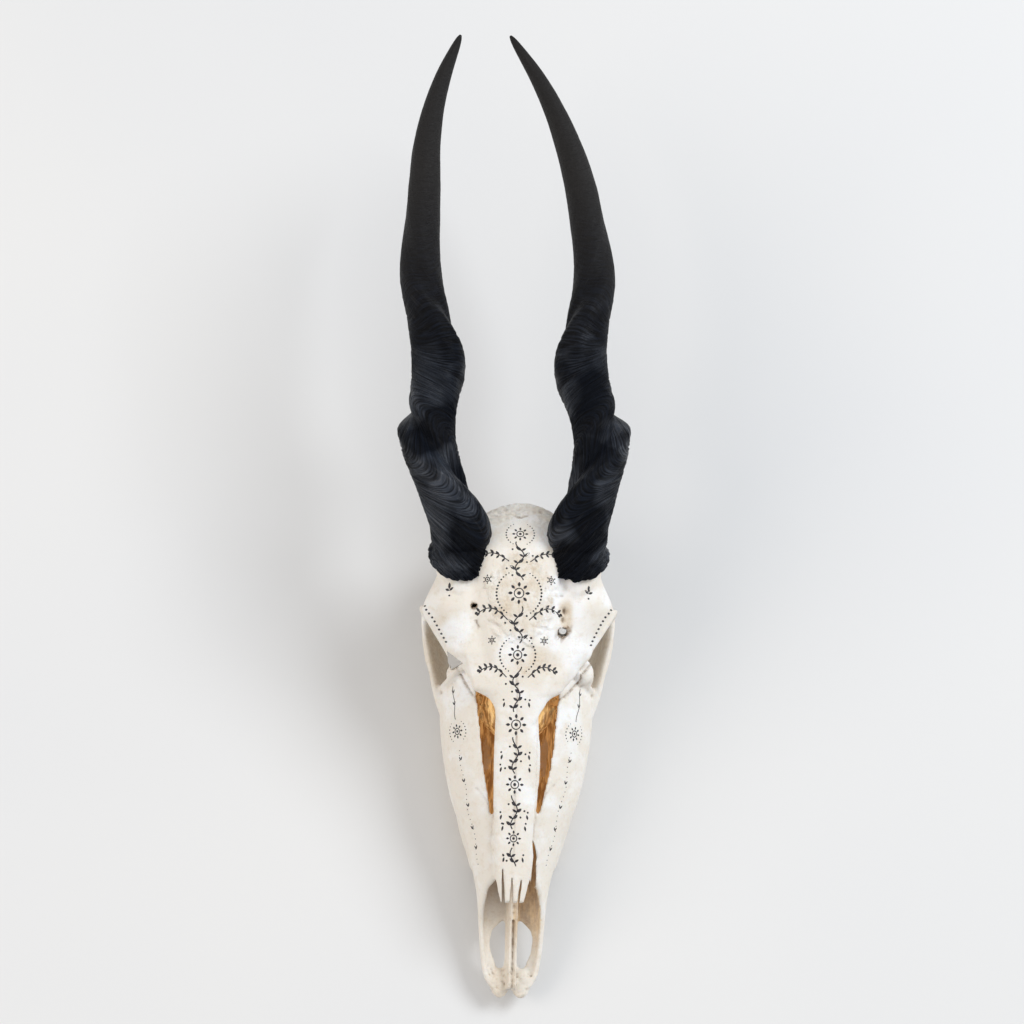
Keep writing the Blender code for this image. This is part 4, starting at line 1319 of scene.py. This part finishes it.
def tooth_material():
    mixture = Recipe("worn_tooth")
    place = mixture.places()
    ribs = mixture.noise(mixture.stretched(place, (1.0, 1.0, 0.15)), 420.0, 3.0)
    cloud = mixture.noise(place, 160.0, 4.0)
    height = mixture.node("ShaderNodeSeparateXYZ", Vector=place).outputs["Z"]
    colour = mixture.mix(mixture.span(ribs, 0.35, 0.7), ENAMEL, DENTINE)
    stained = mixture.sums("ADD", height, mixture.span(cloud, 0.3, 0.7, -0.004, 0.004))
    stained = mixture.span(stained, 0.006, 0.018)
    colour = mixture.mix(mixture.sums("MULTIPLY", stained, 0.65), colour, TARTAR)
    worn = mixture.span(height, 0.0002, 0.0012)
    facing = mixture.span(height, 0.0012, 0.0045, 1.0, 0.0)
    bare = mixture.sums("MULTIPLY", mixture.sums("MULTIPLY", worn, facing), 0.7)
    colour = mixture.mix(bare, colour, DENTINE)
    return mixture.surface(
        Base_Color=colour,
        Roughness=mixture.span(cloud, 0.3, 0.7, 0.25, 0.45),
        Coat_Weight=0.2,
        Normal=mixture.relief(ribs, 0.0004, 0.35),
    )


tooth_finish = tooth_material()
for side in SIDES:
    y = TOOTH_ROW_START
    for name, length, width in TEETH:
        tooth = make_tooth(name, length, width, y + length / 2, side)
        put_in_place(tooth, tooth_finish)
        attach(tooth, "root")
        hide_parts(name + "_" + SIDE_NAMES[side])
        y += length + TOOTH_GAP
print("teeth:", 2 * len(TEETH))

# %% [markdown]
# The bone carries a plain vine in black ink: a waving stem with leaves, berries and small
# rosettes. Every mark is first a flat shape on a page. The page is then laid on the bone by
# casting a ray from each corner, and given a thickness of a hair. An image would be simpler, but
# would not be part of the mesh.

# %% Flat marks
def add_dot(form, x, y, radius):
    """A round dot."""
    at = Matrix.Translation((x, y, 0))
    segments = 10 if radius < 1 else 16
    bmesh.ops.create_circle(form, cap_ends=True, cap_tris=True, segments=segments, radius=radius, matrix=at)


def add_leaf(form, x, y, length, width, angle):
    """A pointed leaf whose stalk end is at x, y."""
    made = bmesh.ops.create_circle(form, cap_ends=True, cap_tris=True, segments=16, radius=1)
    turn = Matrix.Rotation(math.radians(angle), 4, "Z")
    for corner in made["verts"]:
        along, across = corner.co.x, corner.co.y
        corner.co = Vector((length * (0.5 + 0.5 * along), width / 2 * across * abs(across), 0))
        corner.co = Vector((x, y, 0)) + turn @ corner.co


def add_stroke(form, points, width):
    """A pen line of even width through points on the page."""
    made = bmesh.ops.create_grid(form, x_segments=1, y_segments=len(points) - 1, size=0.5)
    count = len(points) - 1
    for corner in made["verts"]:
        row = round((corner.co.y + 0.5) * count)
        ahead = (Vector(points[min(row + 1, count)]) - Vector(points[max(row - 1, 0)])).normalized()
        aside = Vector((ahead.y, -ahead.x)) * width * corner.co.x
        spot = Vector(points[row]) + aside
        corner.co = Vector((spot.x, spot.y, 0))


def arc(x, y, radius, start, end, step=1.4):
    """Points on part of a circle, angles in degrees."""
    count = max(4, round(abs(math.radians(end - start)) * radius / step))
    angles = [math.radians(start + (end - start) * index / count) for index in range(count + 1)]
    return [(x + radius * math.cos(angle), y + radius * math.sin(angle)) for angle in angles]


def add_rosette(form, x, y, size, petals=8):
    """A ring with a dot in it and leaves round it."""
    add_dot(form, x, y, size * 0.2)
    add_stroke(form, arc(x, y, size * 0.5, 0, 360, 0.9), 0.8)
    for index in range(petals):
        angle = 360 * index / petals + 90
        away = Vector((math.cos(math.radians(angle)), math.sin(math.radians(angle)))) * size * 0.66
        add_leaf(form, x + away.x, y + away.y, size * 0.5, size * 0.3, angle)


def add_dotted(form, points, every, radius):
    """A dotted line: a dot on every few of the points, growing towards the middle."""
    for index in range(0, len(points), every):
        grow = 0.7 + 0.5 * math.sin(math.pi * index / len(points))
        add_dot(form, *points[index], radius * grow)


# %% [markdown]
# The forehead page looks straight down, and each cheek page looks in from the side, so that no
# mark is stretched where the bone turns away.

# %% The vine
STEM_WAVE = 23.0
ROSETTES = ((0, 372, 6), (0, 318, 8), (0, 268, 7), (0, 212, 7.5), (0, 164, 6.5), (0, 121, 5.5))
INK_LINE = 0.95
# Side shoots: where each starts along the skull, how far it reaches and how high it bows
TENDRILS = ((345, 24, 8), (296, 25, 10), (250, 22, 9))
BERRY_SPOTS = ((11, 232), (12, 190), (12.5, 180), (11.5, 142), (10, 133), (8.5, 108))
BROW_SPRIG_X = 59
DOTTED_RINGS = ((318, 19, 28, 0.75), (268, 15, 30, 0.7), (372, 12, 30, 0.6))


def stem_x(y):
    return (3.6 if y > 240 else 2.6) * math.sin(2 * math.pi * y / STEM_WAVE)


def draw_forehead(form):
    ends = [y for _, y, _ in ROSETTES] + [99]
    gaps = [size * 1.35 for _, _, size in ROSETTES] + [0]
    for upper, lower, above, below in zip(ends, ends[1:], gaps, gaps[1:]):
        run = stations((lower + below, upper - above), 1.3)
        add_stroke(form, [(stem_x(y), y) for y in run], INK_LINE)
        for y in stations((lower + below + 3, upper - above - 3), STEM_WAVE / 4)[:-1]:
            lean = 1 if math.cos(2 * math.pi * y / STEM_WAVE) > 0 else -1
            add_leaf(form, stem_x(y), y, 6.2 if y > 240 else 5, 2.6, 90 - lean * 52)
            add_leaf(form, stem_x(y), y, 4.4, 2.0, 90 + lean * 58)
            add_dot(form, stem_x(y) + lean * (7.6 if y > 240 else 6.4), y + 1.2, 0.85)
    for x, y, size in ROSETTES:
        add_rosette(form, x, y, size)
    for side in SIDES:
        for y, span, rise in TENDRILS:
            parts = stations((0, 1), 0.05)
            path = [(side * (9 + span * part), y + rise * math.sin(part * 2.4)) for part in parts]
            add_stroke(form, path, 0.8)
            for index in range(3, len(path) - 1, 4):
                spot_x, spot_y = path[index]
                add_leaf(form, spot_x, spot_y, 4.6, 2.0, 90 - side * 40)
                add_leaf(form, spot_x, spot_y, 4.0, 1.8, -90 + side * 40)
            add_dot(form, path[-1][0] + side * 1.8, path[-1][1], 1.3)
        for y, radius, start, dot in DOTTED_RINGS:
            add_dotted(form, arc(0, y, radius, 90 - side * start, 90 - side * (180 - start)), 2, dot)
        add_rosette(form, side * 27, 330, 3.6, 6)
        add_rosette(form, side * 22, 280, 3.2, 6)
        for x, y in BERRY_SPOTS:
            add_dot(form, side * x, y, 0.8)
            add_leaf(form, side * x, y - 6, 4.2, 1.7, 90 + side * 12)
        add_leaf(form, side * BROW_SPRIG_X, 322, 5, 2.2, 90)
        add_leaf(form, side * BROW_SPRIG_X, 321, 4, 1.8, 90 + 60)
        add_leaf(form, side * BROW_SPRIG_X, 321, 4, 1.8, 90 - 60)
        add_dot(form, side * BROW_SPRIG_X, 317, 0.8)


def draw_brow(form, side):
    edge = FOREHEAD_EDGES[side]
    for y in stations((281, 312), 3.4):
        x = side * (curve_at(edge, y) - 3.2)
        add_leaf(form, x, y, 2.6, 1.3, 90 - side * 58)


def draw_cheek(form):
    for y in stations((104, 196), 4.0):
        add_dot(form, 1.4 * math.sin(y * 0.16), y, 0.42)
    for y in (116, 132, 150, 170, 188, 234, 244):
        add_leaf(form, 0, y, 3.4, 1.2, 62)
        add_leaf(form, 0, y, 3.4, 1.2, 118)
    add_rosette(form, 0, 212, 5.2)
    for side in SIDES:
        add_dotted(form, arc(0, 212, 9.5, 90 - side * 40, 90 - side * 140), 2, 0.5)
    add_stroke(form, [(0.8 * math.sin(y * 0.3), y) for y in stations((222, 250), 1.3)], 0.6)


# %% [markdown]
# The marks stand a tenth of a millimetre proud, with their lower faces sunk in the bone, so each
# is a closed sliver of ink and none floats.

# %% Laying the ink on the bone
INK_PROUD = 0.12
INK_THICKNESS = 0.4
CHEEK_TILT = math.radians(38)
RAY_START = 250
LONGEST_EDGE = 4.5
INK_BLACK = (0.012, 0.011, 0.014, 1)
INK_THIN = (0.07, 0.065, 0.075, 1)


def lay(form, surface, across, look, anchor):
    """Drops a flat page onto the bone: page x runs along across, page y along the skull."""
    lost = []
    for corner in form.verts:
        start = anchor + across * corner.co.x + Vector((0, 1, 0)) * corner.co.y
        hit, _, _, _ = surface.ray_cast((start - look * RAY_START) * MM, look)
        if hit is None:
            lost.append(corner)
            corner.co = start * MM
        else:
            corner.co = hit - look * INK_PROUD * MM
    bmesh.ops.delete(form, geom=lost, context="VERTS")
    longest = LONGEST_EDGE * MM
    steep = [face for face in form.faces if max(edge.calc_length() for edge in face.edges) > longest]
    bmesh.ops.delete(form, geom=steep, context="FACES")
    for face in form.faces:
        face.normal_update()
    flipped = [face for face in form.faces if face.normal.dot(look) > 0]
    bmesh.ops.reverse_faces(form, faces=flipped)
    bmesh.ops.solidify(form, geom=form.faces[:], thickness=INK_THICKNESS * MM)


def make_ink(bone):
    surface = BVHTree.FromObject(bone, bpy.context.evaluated_depsgraph_get())
    whole = bmesh.new()
    pages = []
    page = bmesh.new()
    draw_forehead(page)
    for side in SIDES:
        draw_brow(page, side)
    pages.append((page, Vector((1, 0, 0)), Vector((0, 0, -1)), Vector((0, 0, 100))))
    for side in SIDES:
        page = bmesh.new()
        draw_cheek(page)
        look = Vector((-side * math.sin(CHEEK_TILT), 0, -math.cos(CHEEK_TILT)))
        across = Vector((math.cos(CHEEK_TILT), 0, -side * math.sin(CHEEK_TILT)))
        pages.append((page, across, look, Vector((side * 45, 0, 78))))
    for page, across, look, anchor in pages:
        lay(page, surface, across, look, anchor)
        flat = bpy.data.meshes.new("page")
        page.to_mesh(flat)
        page.free()
        whole.from_mesh(flat)
        bpy.data.meshes.remove(flat)
    return to_object(whole, "ink_marks")


def ink_material():
    mixture = Recipe("black_ink")
    thin = mixture.noise(mixture.places(), 700.0, 3.0, 0.7)
    colour = mixture.mix(mixture.span(thin, 0.45, 0.75), INK_BLACK, INK_THIN)
    return mixture.surface(Base_Color=colour, Roughness=mixture.span(thin, 0.3, 0.7, 0.5, 0.7))


ink = make_ink(bone)
put_in_place(ink, ink_material())
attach(ink, "root")
put_in_place(bone, bone_finish)
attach(bone, "root")
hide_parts("skull")
print("ink:", len(ink.data.polygons), "faces")

# %% [markdown]
# The skull lies on a pale floor under soft light from the upper right, as from a big window. The
# camera looks down on it from nose to horns, tipped by the angle of the photo.

# %% Floor and light
FLOOR_COLOURS = ((0.72, 0.725, 0.735, 1), (0.745, 0.745, 0.745, 1))
# Lamps: name, place, width, watts and colour
LAMPS = (
    ("window", (3.0, 1.4, 3.4), 2.3, 134.0, (0.94, 0.975, 1.0)),
    ("room", (-2.4, -0.4, 2.1), 2.2, 34.0, (1.0, 0.91, 0.80)),
)
SKY_COLOUR = (0.97, 0.98, 1.0, 1)
SKY_STRENGTH = 0.6


def add_floor():
    form = bmesh.new()
    bmesh.ops.create_grid(form, x_segments=2, y_segments=2, size=4)
    floor = to_object(form, "floor")
    mixture = Recipe("pale_floor")
    cloud = mixture.noise(mixture.places(), 1.4, 2.0)
    colour = mixture.mix(mixture.span(cloud, 0.35, 0.65), *FLOOR_COLOURS)
    floor.data.materials.append(mixture.surface(Base_Color=colour, Roughness=0.9, Specular_IOR_Level=0.1))
    floor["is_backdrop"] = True


def add_lamp(name, place, size, power, colour, aim):
    data = bpy.data.lights.new(name, "AREA")
    data.shape = "DISK"
    data.size = size
    data.energy = power
    data.color = colour
    lamp = bpy.data.objects.new(name, data)
    bpy.context.scene.collection.objects.link(lamp)
    lamp.location = place
    lamp.rotation_euler = (Vector(aim) - Vector(place)).to_track_quat("-Z", "Y").to_euler()


add_floor()
middle = (cad_box[0] + cad_box[1]) / 2
for lamp in LAMPS:
    add_lamp(*lamp, middle)
sky = bpy.data.worlds.new("soft_sky")
sky.use_nodes = True
sky.node_tree.nodes["Background"].inputs["Color"].default_value = SKY_COLOUR
sky.node_tree.nodes["Background"].inputs["Strength"].default_value = SKY_STRENGTH
bpy.context.scene.world = sky
bpy.context.scene.view_settings.view_transform = "Standard"

# %% [markdown]
# The camera's place comes from the photo: how many millimetres a pixel spans, how far the skull's
# length is tipped away, and how far the picture is rolled.

# %% Camera
MM_PER_PIXEL = 0.853
DISTANCE = 2200.0
TIP = math.radians(20)
ROLL = math.radians(1.3)
PHOTO_SIZE = 1024
LOOK_AT_ALONG = 415.6
LOOK_AT_ACROSS = -7.5
SENSOR = 36.0

along = Vector((0, math.cos(TIP), math.sin(TIP)))
towards = Vector((0, -math.sin(TIP), math.cos(TIP)))
across = Vector((1, 0, 0))
target = ORIGIN + (along * LOOK_AT_ALONG + across * LOOK_AT_ACROSS) * MM
upright = along * math.cos(ROLL) - across * math.sin(ROLL)
rightward = across * math.cos(ROLL) + along * math.sin(ROLL)
view = Matrix((rightward, upright, towards)).transposed().to_4x4()
view.translation = target + towards * DISTANCE * MM
camera_data = bpy.data.cameras.new("camera")
camera_data.sensor_width = SENSOR
camera_data.lens = SENSOR * DISTANCE / (PHOTO_SIZE * MM_PER_PIXEL)
camera_data.dof.use_dof = False
camera = bpy.data.objects.new("camera", camera_data)
bpy.context.scene.collection.objects.link(camera)
camera.matrix_world = view
bpy.context.scene.camera = camera
print("lens:", round(camera_data.lens, 1), "mm")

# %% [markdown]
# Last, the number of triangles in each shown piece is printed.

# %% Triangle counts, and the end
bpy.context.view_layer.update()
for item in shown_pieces():
    print(item.name, "triangles:", sum(len(face.vertices) - 2 for face in item.data.polygons))
